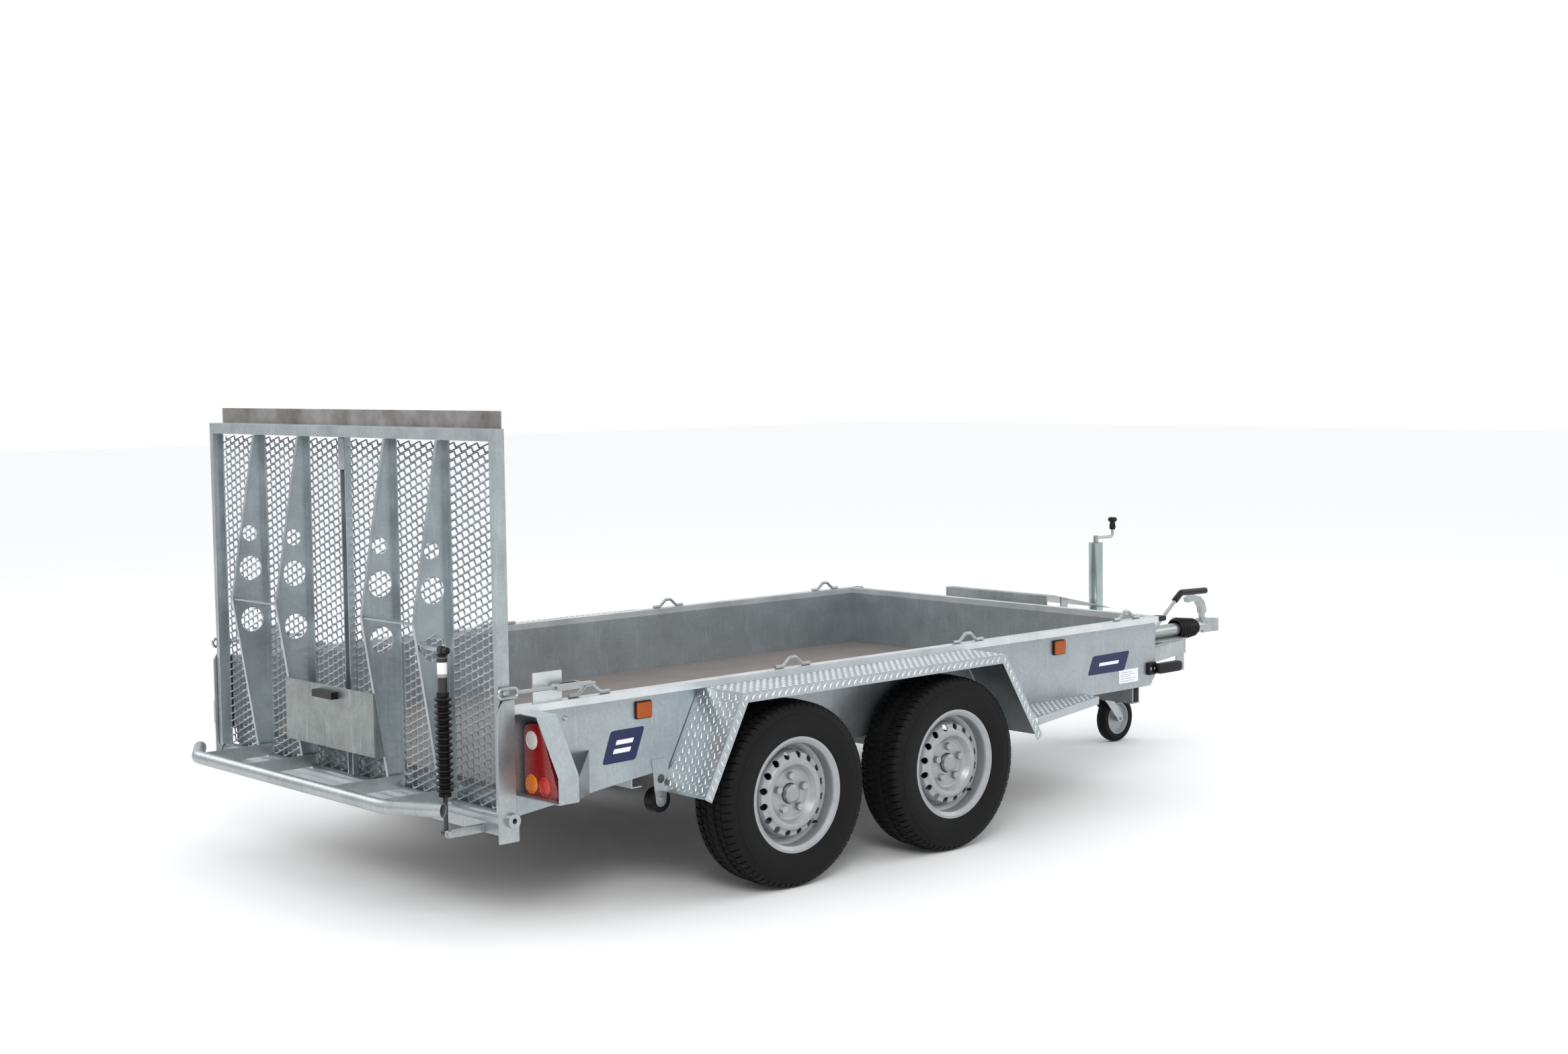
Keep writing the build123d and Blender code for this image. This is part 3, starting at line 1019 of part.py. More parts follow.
def nodes():
    """Every node's name with its solids, in the layout frame."""
    panel = side_panel()
    yield "side_panel_right", panel
    yield "side_panel_left", [piece.mirror(Plane.XZ) for piece in panel]
    yield "front_wall", front_wall()
    yield "floor_board", floor_board()
    yield "chassis_frame", chassis_frame()
    yield "mudguards_and_steps", both_sides([mudguard(), step_plate()])
    yield "drawbar_frame", drawbar_frame()
    yield "axle_tubes", axle_tubes()
    yield "tail_lamp_guards", both_sides([tail_lamp_guard()])
    yield "tail_lamps_red", both_sides([tail_lamp_red()])
    amber = [round_lens(ROUND_AMBER, LAMP_X - 3, LAMP_X + 14, -AIR)]
    yield "amber_lenses", both_sides(amber + [marker_lamp(x) for x in MARKER_X])
    yield "reversing_lenses", both_sides([round_lens(ROUND_WHITE, LAMP_X - 3, LAMP_X + 14, -AIR)])
    yield "front_lamps_and_caps", both_sides([front_lamp(), rail_cap()])
    yield "lashing_hoops", both_sides([lashing_hoop(x) for x in HOOP_X])
    yield "roller_hangers", both_sides([roller_hanger()])
    yield "bucket_rest", bucket_rest()
    yield "jockey_outer_tube", jockey_outer_tube()
    yield "overrun_housing", overrun_housing()
    yield "overrun_bellows", overrun_bellows()
    yield "ramp_frame", ramp_frame()
    yield "ramp_mesh", ramp_mesh()
    yield "ramp_ribs", ramp_ribs()
    yield "ramp_centre_upright", ramp_centre_upright()
    yield "ramp_bumper", ramp_bumper()
    yield "number_plate_panel", number_plate_panel()
    yield "number_plate_lamp", number_plate_lamp()
    yield "strut_tube", strut_tube()
    yield "strut_rod", strut_rod()
    yield "strut_bellows", strut_bellows()
    for name, side in (("right", -1.0), ("left", 1.0)):
        yield f"latch_lever_{name}", [sided(latch_lever(), side)]
        yield f"latch_eye_{name}", [sided(latch_eye(), side)]
    for end, wheel_x in zip(("rear", "front"), AXLE_X):
        for name, side in (("right", -1.0), ("left", 1.0)):
            yield f"suspension_arm_{end}_{name}", suspension_arm(wheel_x, side)
            yield f"wheel_hub_{end}_{name}", wheel_hub(wheel_x, side)
            yield f"wheel_rim_{end}_{name}", wheel_rim(wheel_x, side)
            yield f"wheel_tyre_{end}_{name}", wheel_tyre(wheel_x, side)
    yield "support_rollers", both_sides([roller()])
    yield "jockey_inner_tube", jockey_inner_tube()
    yield "jockey_crank", jockey_crank()
    yield "jockey_crank_knob", jockey_crank_knob()
    yield "jockey_fork", jockey_fork()
    yield "jockey_wheel_rim", jockey_wheel_rim()
    yield "jockey_tyre", jockey_tyre()
    yield "coupling_head", coupling_head()
    yield "coupling_handle", coupling_handle()
    yield "handbrake_lever", handbrake_lever()
    yield "handbrake_grip", handbrake_grip()


os.makedirs("parts", exist_ok=True)
for node_name, pieces in nodes():
    export_step(place(pieces), f"parts/{node_name}.step")
    print(node_name, len(pieces))
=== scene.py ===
"""Looks of an open galvanised tandem-axle plant trailer with an upright mesh loading ramp.

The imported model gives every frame, joint and size. This script dresses it: finishes for the
parts that keep their shape, and finer meshes for the expanded metal, tyres, lamps, bellows,
chequer plate and the small fittings. Sizes are millimetres until a mesh is made, and places
along the trailer count from the rear end of the side rails.
"""

import logging
import math
from dataclasses import dataclass, field
from enum import Enum
from typing import Iterable, Sequence

import bmesh
import bpy
from mathutils import Matrix, Vector

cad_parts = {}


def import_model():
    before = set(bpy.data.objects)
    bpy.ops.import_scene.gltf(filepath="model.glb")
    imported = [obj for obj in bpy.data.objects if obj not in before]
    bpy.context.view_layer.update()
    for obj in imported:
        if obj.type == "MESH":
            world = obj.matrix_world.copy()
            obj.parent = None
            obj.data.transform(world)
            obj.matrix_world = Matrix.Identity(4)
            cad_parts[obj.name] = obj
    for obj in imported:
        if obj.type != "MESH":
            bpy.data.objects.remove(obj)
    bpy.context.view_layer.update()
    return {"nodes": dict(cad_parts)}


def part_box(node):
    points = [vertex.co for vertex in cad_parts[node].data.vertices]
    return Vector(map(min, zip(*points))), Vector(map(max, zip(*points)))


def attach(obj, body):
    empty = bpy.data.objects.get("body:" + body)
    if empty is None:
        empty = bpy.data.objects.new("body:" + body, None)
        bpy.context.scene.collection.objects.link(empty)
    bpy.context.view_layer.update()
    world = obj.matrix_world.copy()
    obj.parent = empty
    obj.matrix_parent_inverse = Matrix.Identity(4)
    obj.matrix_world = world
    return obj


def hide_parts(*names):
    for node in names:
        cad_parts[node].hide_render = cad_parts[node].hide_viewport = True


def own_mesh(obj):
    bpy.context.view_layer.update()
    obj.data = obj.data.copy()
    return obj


LOG = logging.getLogger("trailer")
MM = 0.001
Point = Sequence[float]


class Side(Enum):
    """Right (negative Y) or left of the trailer."""

    RIGHT = -1.0
    LEFT = 1.0


# ------------------------------------------------------------------ colour and nodes
def linear(code: str) -> tuple[float, float, float, float]:
    """Turns an sRGB hex colour into linear RGBA.

    Args:
        code: six hex digits with a leading hash.

    Returns:
        The linear colour with alpha 1.
    """
    parts = [int(code[i:i + 2], 16) / 255 for i in (1, 3, 5)]
    rgb = [c / 12.92 if c <= 0.04045 else ((c + 0.055) / 1.055) ** 2.4 for c in parts]
    return (rgb[0], rgb[1], rgb[2], 1.0)


def add_node(tree: bpy.types.NodeTree, kind: str, settings: dict | None = None,
             links: dict | None = None) -> bpy.types.Node:
    """Adds a node with its settings and its incoming links.

    Args:
        tree: node tree to add to.
        kind: node type, such as ShaderNodeTexNoise.
        settings: attribute or input names with their values.
        links: input names or numbers with the sockets that feed them.

    Returns:
        The new node.
    """
    node = tree.nodes.new(kind)
    for key, value in (settings or {}).items():
        if isinstance(key, str) and hasattr(node, key):
            setattr(node, key, value)
        else:
            node.inputs[key].default_value = value
    for key, socket in (links or {}).items():
        tree.links.new(socket, node.inputs[key])
    return node


def ramp(tree: bpy.types.NodeTree, factor: bpy.types.NodeSocket, low: Point, high: Point,
         start: float = 0.0, end: float = 1.0) -> bpy.types.NodeSocket:
    """Colour ramp with two stops.

    Args:
        tree: node tree to add to.
        factor: socket that drives the ramp.
        low: linear colour at the start.
        high: linear colour at the end.
        start: place of the first stop.
        end: place of the second stop.

    Returns:
        The ramp's colour socket.
    """
    node = add_node(tree, "ShaderNodeValToRGB", links={"Fac": factor})
    first, last = node.color_ramp.elements
    first.position, first.color = start, low
    last.position, last.color = end, high
    return node.outputs["Color"]


# ------------------------------------------------------------------ finishes
MADE: dict[str, bpy.types.Material] = {}     # the materials already made, by name


@dataclass(frozen=True)
class Finish:
    """A plain finish: one colour with fine unevenness in tone, gloss and surface."""

    name: str
    colour: str
    roughness: float = 0.5
    metallic: float = 0.0
    ior: float = 1.5
    coat: float = 0.0
    grain_mm: float = 4.0          # size of the unevenness
    depth_mm: float = 0.05         # height of the bump
    contrast: float = 0.12         # how far the tone wanders
    round_mm: float = 0.0          # softening of sharp edges
    specular: float = 0.5          # strength of the clear reflection on non-metals

    def coordinates(self, tree: bpy.types.NodeTree) -> bpy.types.NodeSocket:
        """Object coordinates in millimetres."""
        place = add_node(tree, "ShaderNodeTexCoord")
        scale = add_node(tree, "ShaderNodeVectorMath", {"operation": "SCALE", "Scale": 1 / MM},
                         {0: place.outputs["Object"]})
        return scale.outputs[0]

    def tones(self) -> tuple[tuple, tuple]:
        """Darker and lighter versions of the colour."""
        base = linear(self.colour)
        low = tuple(c * (1 - self.contrast) for c in base[:3]) + (1.0,)
        high = tuple(min(1.0, c * (1 + self.contrast)) for c in base[:3]) + (1.0,)
        return low, high

    def surface(self, tree: bpy.types.NodeTree, shader: bpy.types.Node) -> None:
        """Links the tone, gloss and bump of an even moulded or painted surface."""
        where = self.coordinates(tree)
        grain = add_node(tree, "ShaderNodeTexNoise",
                         {"Scale": 1 / self.grain_mm, "Detail": 3.0}, {"Vector": where})
        cloud = add_node(tree, "ShaderNodeTexNoise",
                         {"Scale": 1 / (self.grain_mm * 18), "Detail": 2.0}, {"Vector": where})
        tree.links.new(ramp(tree, cloud.outputs["Fac"], *self.tones(), 0.3, 0.7),
                       shader.inputs["Base Color"])
        self.gloss(tree, shader, cloud.outputs["Fac"], 0.06)
        self.bump(tree, shader, grain.outputs["Fac"])

    def gloss(self, tree: bpy.types.NodeTree, shader: bpy.types.Node,
              factor: bpy.types.NodeSocket, spread: float) -> None:
        """Lets the roughness wander by the given spread."""
        node = add_node(tree, "ShaderNodeMapRange",
                        {"To Min": max(0.02, self.roughness - spread),
                         "To Max": min(1.0, self.roughness + spread)}, {"Value": factor})
        tree.links.new(node.outputs["Result"], shader.inputs["Roughness"])

    def bump(self, tree: bpy.types.NodeTree, shader: bpy.types.Node,
             height: bpy.types.NodeSocket) -> None:
        """Bump of depth_mm on top of the softened edges."""
        node = add_node(tree, "ShaderNodeBump", {"Distance": self.depth_mm * MM}, {"Height": height})
        if self.round_mm:
            soft = add_node(tree, "ShaderNodeBevel", {"samples": 4, "Radius": self.round_mm * MM})
            tree.links.new(soft.outputs["Normal"], node.inputs["Normal"])
        tree.links.new(node.outputs["Normal"], shader.inputs["Normal"])

    def build(self) -> bpy.types.Material:
        """Makes the material, or gives the one already made."""
        if self.name in MADE:
            return MADE[self.name]
        made = MADE[self.name] = bpy.data.materials.new(self.name)
        made.use_nodes = True
        made.node_tree.nodes.clear()
        shader = add_node(made.node_tree, "ShaderNodeBsdfPrincipled",
                          {"Metallic": self.metallic, "IOR": self.ior, "Coat Weight": self.coat,
                           "Coat Roughness": 0.08, "Specular IOR Level": self.specular})
        add_node(made.node_tree, "ShaderNodeOutputMaterial",
                 links={"Surface": shader.outputs["BSDF"]})
        self.surface(made.node_tree, shader)
        return made


@dataclass(frozen=True)
class HotDipZinc(Finish):
    """Hot-dip galvanised steel: matt blue-grey zinc with faint crystals and run-off streaks."""

    spangle_mm: float = 9.0
    cloud_mm: float = 140.0
    streak: str = "#c9d3d8"
    top_band_and_highlight_above: float = 0.0        # height in metres above which the top band shows: a painted highlight on the panel rails, a darker band on the ramp's lip; 0 for none
    top_band_and_highlight_low: str = "#6d6661"
    top_band_and_highlight_high: str = "#b3b2b0"

    def surface(self, tree: bpy.types.NodeTree, shader: bpy.types.Node) -> None:
        """Crystals a few millimetres wide under large clouds and vertical streaks."""
        where = self.coordinates(tree)
        crystals = add_node(tree, "ShaderNodeTexVoronoi", {"Scale": 1 / self.spangle_mm},
                            {"Vector": where})
        cloud = add_node(tree, "ShaderNodeTexNoise",
                         {"Scale": 1 / self.cloud_mm, "Detail": 5.0, "Roughness": 0.62},
                         {"Vector": where})
        stretched = add_node(tree, "ShaderNodeVectorMath", {"operation": "MULTIPLY"}, {0: where})
        stretched.inputs[1].default_value = (1.0, 1.0, 0.09)
        runs = add_node(tree, "ShaderNodeTexNoise", {"Scale": 1 / 11.0, "Detail": 4.0},
                        {"Vector": stretched.outputs[0]})
        base = ramp(tree, cloud.outputs["Fac"], *self.tones(), 0.32, 0.68)
        grey = add_node(tree, "ShaderNodeMapRange", {"From Max": 1.0, "To Min": 0.93, "To Max": 1.06},
                        {"Value": crystals.outputs["Color"]})
        lit = add_node(tree, "ShaderNodeMix", {"data_type": "RGBA", "blend_type": "MULTIPLY"},
                       {6: base, 7: grey.outputs["Result"]})
        lit.inputs[0].default_value = 1.0
        share = add_node(tree, "ShaderNodeMapRange",
                         {"From Min": 0.56, "From Max": 0.78, "To Max": 0.35},
                         {"Value": runs.outputs["Fac"]})
        run = add_node(tree, "ShaderNodeMix", {"data_type": "RGBA"},
                       {0: share.outputs["Result"], 6: lit.outputs[2]})
        run.inputs[7].default_value = linear(self.streak)
        colour = run.outputs[2]
        # Above a height the colour turns to the top band: a painted highlight on the panel rails, a
        # darker band on the ramp's lip.
        if self.top_band_and_highlight_above:
            colour = self.top_band_and_highlight(tree, where, cloud.outputs["Fac"], colour)
        tree.links.new(colour, shader.inputs["Base Color"])
        self.gloss(tree, shader, cloud.outputs["Fac"], 0.10)
        self.bump(tree, shader, cloud.outputs["Fac"])

    def top_band_and_highlight(self, tree: bpy.types.NodeTree, where: bpy.types.NodeSocket,
               cloud: bpy.types.NodeSocket, colour: bpy.types.NodeSocket) -> bpy.types.NodeSocket:
        """Zinc of another tone above a height: a painted highlight on the panel rails' top and outer
        face, a darker brown-grey band on the ramp's lip.
        """
        split = add_node(tree, "ShaderNodeSeparateXYZ", links={0: where})
        above = add_node(tree, "ShaderNodeMath", {"operation": "GREATER_THAN"},
                         {0: split.outputs["Z"]})
        above.inputs[1].default_value = self.top_band_and_highlight_above / MM
        # On the panel rails this colour is a painted highlight, brighter than the sheet.
        dark = ramp(tree, cloud, linear(self.top_band_and_highlight_low), linear(self.top_band_and_highlight_high), 0.30, 0.74)
        mix = add_node(tree, "ShaderNodeMix", {"data_type": "RGBA"},
                       {0: above.outputs[0], 6: colour, 7: dark})
        return mix.outputs[2]


@dataclass(frozen=True)
class HubMetal(Finish):
    """Bright grease cap outside, dark cast-iron drum behind the wheel disc."""

    dark: str = "#33302e"
    split_mm: float = 945.0        # distance out from the centre line where the drum ends

    def surface(self, tree: bpy.types.NodeTree, shader: bpy.types.Node) -> None:
        """Mixes the two metals by their distance out."""
        where = self.coordinates(tree)
        split = add_node(tree, "ShaderNodeSeparateXYZ", links={0: where})
        out = add_node(tree, "ShaderNodeMath", {"operation": "ABSOLUTE"}, {0: split.outputs["Y"]})
        beyond = add_node(tree, "ShaderNodeMath", {"operation": "GREATER_THAN"},
                          {0: out.outputs[0]})
        beyond.inputs[1].default_value = self.split_mm
        grain = add_node(tree, "ShaderNodeTexNoise", {"Scale": 1 / 20.0, "Detail": 3.0},
                         {"Vector": where})
        bright = ramp(tree, grain.outputs["Fac"], *self.tones(), 0.3, 0.7)
        rust = ramp(tree, grain.outputs["Fac"], linear(self.dark), linear("#4a413b"), 0.4, 0.8)
        mix = add_node(tree, "ShaderNodeMix", {"data_type": "RGBA"},
                       {0: beyond.outputs[0], 6: rust, 7: bright})
        tree.links.new(mix.outputs[2], shader.inputs["Base Color"])
        self.gloss(tree, shader, grain.outputs["Fac"], 0.08)
        self.bump(tree, shader, grain.outputs["Fac"])


@dataclass(frozen=True)
class RibbedLens(Finish):
    """Moulded acrylic lens: clear gloss over rows of prisms that break the colour."""

    deep: str = "#3a0606"
    pitch_mm: float = 5.0

    def surface(self, tree: bpy.types.NodeTree, shader: bpy.types.Node) -> None:
        """Prism rows across and along, drawn at their real pitch."""
        where = self.coordinates(tree)
        split = add_node(tree, "ShaderNodeSeparateXYZ", links={0: where})
        waves = []
        for axis in ("Y", "Z"):
            turn = add_node(tree, "ShaderNodeMath", {"operation": "MULTIPLY"},
                            {0: split.outputs[axis]})
            turn.inputs[1].default_value = 2 * math.pi / self.pitch_mm
            waves.append(add_node(tree, "ShaderNodeMath", {"operation": "SINE"},
                                  {0: turn.outputs[0]}).outputs[0])
        both = add_node(tree, "ShaderNodeMath", {"operation": "ADD"}, {0: waves[0], 1: waves[1]})
        level = add_node(tree, "ShaderNodeMapRange", {"From Min": -2.0, "From Max": 2.0},
                         {"Value": both.outputs[0]})
        tree.links.new(ramp(tree, level.outputs["Result"], linear(self.deep),
                            linear(self.colour), 0.1, 0.8), shader.inputs["Base Color"])
        shader.inputs["Roughness"].default_value = self.roughness
        self.bump(tree, shader, level.outputs["Result"])


@dataclass(frozen=True)
class Finishes:
    """Every finish on the trailer."""

    # Hot-dip zinc on folded sheet: even, matt, blue-grey.
    # Above the rail's height the sheet is painted brighter, a painted highlight on the rail's top and
    # outer face.
    sheet: Finish = HotDipZinc("galvanised_steel_sheet", "#a6adb1", 0.40, 0.82, round_mm=1.6,
                               depth_mm=0.5, contrast=0.10, top_band_and_highlight_above=0.6425,
                               top_band_and_highlight_low="#c6cbcd", top_band_and_highlight_high="#e2e5e7")
    # Rolled sections and tubes come out of the zinc a little brighter and more uneven.
    section: Finish = HotDipZinc("galvanised_steel_sections", "#a8acae", 0.36, 0.85,
                                 round_mm=2.0, depth_mm=0.8, contrast=0.16)
    ramp_frame: Finish = HotDipZinc("galvanised_steel_ramp", "#a9b0b3", 0.36, 0.85,
                                    round_mm=2.0, depth_mm=0.8, contrast=0.16, top_band_and_highlight_above=1.4582)
    chequer: Finish = HotDipZinc("galvanised_chequer_plate", "#abb2b6", 0.32, 0.88,
                                 round_mm=1.0, depth_mm=0.3, contrast=0.08)
    strands: Finish = HotDipZinc("galvanised_expanded_metal", "#a4abb0", 0.34, 0.9,
                                 depth_mm=0.1, contrast=0.18, cloud_mm=60.0)
    # A flat plate dipped on its own stays duller and darker.
    dull_plate: Finish = HotDipZinc("galvanised_steel_dull_plate", "#8f9492", 0.42, 0.9,
                                    round_mm=0.8, depth_mm=0.3, contrast=0.22, cloud_mm=90.0)
    # Bright zinc plating on small fittings: mirror-like but slightly soft.
    plated: Finish = Finish("bright_zinc_plating", "#a9adae", 0.28, 1.0, contrast=0.08,
                            round_mm=0.8)
    # Blue-passivated tube: smoother and colder than the dipped sections.
    plated_blue: Finish = Finish("blue_passivated_zinc_tube", "#a3aeae", 0.22, 1.0,
                                 contrast=0.10, round_mm=1.0)
    # Silver wheel paint: satin metallic flakes under a thin clear coat.
    wheel_paint: Finish = Finish("silver_wheel_paint", "#a0a2a5", 0.40, 0.45, coat=0.25,
                                 grain_mm=0.8, depth_mm=0.01, contrast=0.05, round_mm=1.2)
    # Tyre rubber is nearly black and dull; moulded rubber and plastic shine a little more.
    tyre: Finish = Finish("carbon_black_tyre_rubber", "#111112", 0.66, 0.0, specular=0.18,
                          grain_mm=2.5, depth_mm=0.12, contrast=0.18)
    rubber: Finish = Finish("moulded_black_rubber", "#0d0d0e", 0.42, 0.0, specular=0.25,
                            contrast=0.15)
    plastic: Finish = Finish("black_abs_plastic", "#101011", 0.35, 0.0, specular=0.3, contrast=0.12,
                             round_mm=1.0)
    # Glossy black enamel on the strut's tube.
    enamel: Finish = Finish("black_enamel_on_steel", "#17181a", 0.28, 0.0, coat=0.4)
    # Film-faced plywood: brown-grey, matt, with the faint grain of its film.
    floor: Finish = Finish("phenolic_faced_plywood", "#77706c", 0.55, 0.0, grain_mm=6.0,
                           depth_mm=0.15, contrast=0.10)
    # Flat printed films on the panels, and the pale grey ink of rules and labels.
    navy: Finish = Finish("printed_vinyl_navy", "#161d4c", 0.5, 0.0, contrast=0.04)
    white_film: Finish = Finish("printed_vinyl_white", "#e9ebee", 0.35, 0.0, contrast=0.03)
    # Deep amber of the side markers, with fine prism rows.
    marker_lens: Finish = RibbedLens("amber_marker_lens", "#e06c0c", 0.2, coat=0.2, specular=0.3,
                                     depth_mm=0.3, deep="#8a3a02", pitch_mm=4.0)
    grey_print: Finish = Finish("grey_print", "#8b9094", 0.5, 0.0, contrast=0.05)
    # Castings painted silver grey: slightly rough under a satin coat.
    casting: Finish = Finish("silver_painted_casting", "#a9adae", 0.34, 0.75, grain_mm=1.6,
                             depth_mm=0.08, contrast=0.08, round_mm=1.6)
    # One turned piece: bright cap, dark drum.
    hub: Finish = HubMetal("hub_cap_and_brake_drum", "#9b9ea0", 0.34, 0.8, contrast=0.06)
    # Trailing arms and bolts sit in shade; the arms' zinc is painted darker as painted shade, and the
    # bolts have worn plating.
    arm: Finish = HotDipZinc("galvanised_trailing_arm_painted_shade", "#8b9195", 0.42, 0.85, round_mm=1.5,
                             contrast=0.18)
    bolts: Finish = Finish("zinc_plated_wheel_bolt", "#a5a6a3", 0.30, 0.95, contrast=0.15)
    # The raised lugs catch the light: their zinc is painted brightest, a painted highlight on every
    # lug.
    lugs: Finish = HotDipZinc("galvanised_chequer_lugs", "#dde1e3", 0.24, 0.92, depth_mm=0.1,
                              contrast=0.08)
    # Acrylic tail lamp lenses: wet gloss over coloured prisms.
    red_lens: Finish = RibbedLens("red_acrylic_lens", "#a3120f", 0.10, coat=0.9, depth_mm=0.3,
                                  deep="#4a0605")
    red_bright: Finish = RibbedLens("bright_red_acrylic_lens", "#d0241a", 0.10, coat=0.9,
                                    depth_mm=0.3, deep="#8c0d0a", pitch_mm=4.0)
    amber_lens: Finish = RibbedLens("amber_acrylic_lens", "#f08a1c", 0.10, coat=0.9,
                                    depth_mm=0.3, deep="#b4500a", pitch_mm=4.0)
    clear_lens: Finish = RibbedLens("clear_acrylic_lens", "#e4e2df", 0.10, coat=0.9,
                                    depth_mm=0.3, deep="#a39c98", pitch_mm=4.0)


F = Finishes()


# ------------------------------------------------------------------ meshes
def add_mesh(name: str, vertices: Iterable[Point], faces: Iterable[Sequence[int]],
             finish: Finish, smooth: float | None = 35.0) -> bpy.types.Object:
    """Makes an object from millimetre vertices in the row frame.

    Args:
        name: the piece's name.
        vertices: places in millimetres.
        faces: vertex numbers of each face.
        finish: the piece's finish.
        smooth: edges flatter than this many degrees are smoothed; None for flat shading.

    Returns:
        The new object.
    """
    mesh = bpy.data.meshes.new(name)
    mesh.from_pydata([Vector(v) * MM for v in vertices], [], [list(f) for f in faces])
    tidy = bmesh.new()
    tidy.from_mesh(mesh)
    bmesh.ops.recalc_face_normals(tidy, faces=tidy.faces)
    tidy.to_mesh(mesh)
    tidy.free()
    if smooth is not None:
        mesh.shade_smooth()
        mesh.set_sharp_from_angle(angle=math.radians(smooth))
    mesh.materials.append(finish.build())
    made = bpy.data.objects.new(name, mesh)
    bpy.context.scene.collection.objects.link(made)
    return made


def joined(name: str, pieces: Sequence[bpy.types.Object]) -> bpy.types.Object:
    """Joins pieces into one object that keeps each one's finish."""
    with bpy.context.temp_override(active_object=pieces[0], selected_editable_objects=pieces):
        bpy.ops.object.join()
    pieces[0].name = name
    return pieces[0]


def turned(profile: Sequence[tuple[float, float]], centre: Point, axis: Point,
           steps: int = 96) -> tuple[list[Vector], list[tuple[int, ...]]]:
    """Closed ring or solid of revolution.

    Args:
        profile: closed outline as (radius, place along the axis).
        centre: point on the axis, in millimetres.
        axis: direction of the axis.
        steps: number of steps round.

    Returns:
        Vertices and faces.
    """
    along = Vector(axis).normalized()
    turn = along.to_track_quat("Z", "Y")
    vertices, faces = [], []
    count = len(profile)
    for i in range(steps):
        angle = 2 * math.pi * i / steps
        for radius, place in profile:
            spoke = Vector((radius * math.cos(angle), radius * math.sin(angle), place))
            vertices.append(Vector(centre) + turn @ spoke)
    for i in range(steps):
        for j in range(count):
            a, b = i * count + j, i * count + (j + 1) % count
            c, d = ((i + 1) % steps) * count + (j + 1) % count, ((i + 1) % steps) * count + j
            faces.append((a, b, c, d))
    return vertices, faces


def bevelled_plate(name: str, outline: Sequence[Point], depth: Point, bevel: float,
                   finish: Finish, segments: int = 3) -> bpy.types.Object:
    """Plate extruded from a flat outline, with its far edges rounded.

    Args:
        name: the piece's name.
        outline: corners in millimetres.
        depth: extrusion in millimetres; the far face gets the rounded edge.
        bevel: radius of the rounding.
        finish: the piece's finish.
        segments: steps in the rounding.

    Returns:
        The new object.
    """
    made = bmesh.new()
    base = made.faces.new([made.verts.new(Vector(p) * MM) for p in outline])
    grown = bmesh.ops.extrude_face_region(made, geom=[base])
    moved = [g for g in grown["geom"] if isinstance(g, bmesh.types.BMVert)]
    bmesh.ops.translate(made, verts=moved, vec=Vector(depth) * MM)
    far = [e for e in made.edges if all(v in moved for v in e.verts)]
    if bevel:
        bmesh.ops.bevel(made, geom=far, offset=bevel * MM, segments=segments, profile=0.6,
                        affect="EDGES")
    bmesh.ops.recalc_face_normals(made, faces=made.faces)
    mesh = bpy.data.meshes.new(name)
    made.to_mesh(mesh)
    made.free()
    mesh.shade_smooth()
    mesh.set_sharp_from_angle(angle=math.radians(35))
    mesh.materials.append(finish.build())
    plate = bpy.data.objects.new(name, mesh)
    bpy.context.scene.collection.objects.link(plate)
    return plate


def rounded_outline(corners: Sequence[tuple[float, float]], radius: float,
                    steps: int = 5) -> list[tuple[float, float]]:
    """Flat outline with each corner replaced by an arc-like curve.

    Args:
        corners: the sharp outline.
        radius: how far from the corner the curve starts.
        steps: points on each curve.

    Returns:
        The rounded outline.
    """
    points = []
    count = len(corners)
    for i, corner in enumerate(corners):
        here = Vector(corner)
        ends = []
        for other in (corners[i - 1], corners[(i + 1) % count]):
            away = Vector(other) - here
            ends.append(here + away.normalized() * min(radius, away.length * 0.45))
        for k in range(steps + 1):
            t = k / steps
            bent = ends[0] * (1 - t) ** 2 + here * 2 * t * (1 - t) + ends[1] * t * t
            points.append((bent.x, bent.y))
    return points


def tube(points: Sequence[Point], radius: float, sides: int = 16
         ) -> tuple[list[Vector], list[tuple[int, ...]]]:
    """Round bar along a line of points, with closed ends.

    Args:
        points: centre line in millimetres.
        radius: radius of the bar.
        sides: steps round.

    Returns:
        Vertices and faces.
    """
    line = [Vector(p) for p in points]
    vertices, faces = [], []
    for i, here in enumerate(line):
        run = (line[min(i + 1, len(line) - 1)] - line[max(i - 1, 0)]).normalized()
        turn = run.to_track_quat("Z", "Y")
        for k in range(sides):
            angle = 2 * math.pi * k / sides
            vertices.append(here + turn @ Vector((math.cos(angle), math.sin(angle), 0)) * radius)
    for i in range(len(line) - 1):
        for k in range(sides):
            a, b = i * sides + k, i * sides + (k + 1) % sides
            faces.append((a, b, b + sides, a + sides))
    faces.append(tuple(range(sides)))
    faces.append(tuple(range((len(line) - 1) * sides, len(line) * sides)))
    return vertices, faces


def mirrored(y: float, side: Side) -> float:
    """A distance out from the centre line as a Y place on that side."""
    return y * side.value


# ------------------------------------------------------------------ places taken from the frame
@dataclass(frozen=True)
class Datum:
    """Reference places in millimetres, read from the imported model."""

    tail: float                    # rear end of the side rails, along X
    panel: float                   # outer face of the side panels, out from the centre line

    @classmethod
    def read(cls) -> "Datum":
        """Reads the reference places from the side panel and the floor."""
        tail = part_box("side_panel_right")[0].x
        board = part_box("floor_board")[0]
        sheet_and_gap = 3.5
        return cls(tail / MM, -board.y / MM + sheet_and_gap)

    def x(self, from_tail: float) -> float:
        """Place along X of a distance from the tail."""
        return self.tail + from_tail


D: Datum                           # set by main() once the frame is loaded


def put(piece: bpy.types.Object, body: str,
        replaces: Sequence[str] = ()) -> bpy.types.Object:
    """Ties a piece to its body and the nodes it stands for, and reports it."""
    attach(piece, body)
    if replaces:
        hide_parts(*replaces)
    LOG.info("%s: %d faces on %s", piece.name, len(piece.data.polygons), body)
    return piece


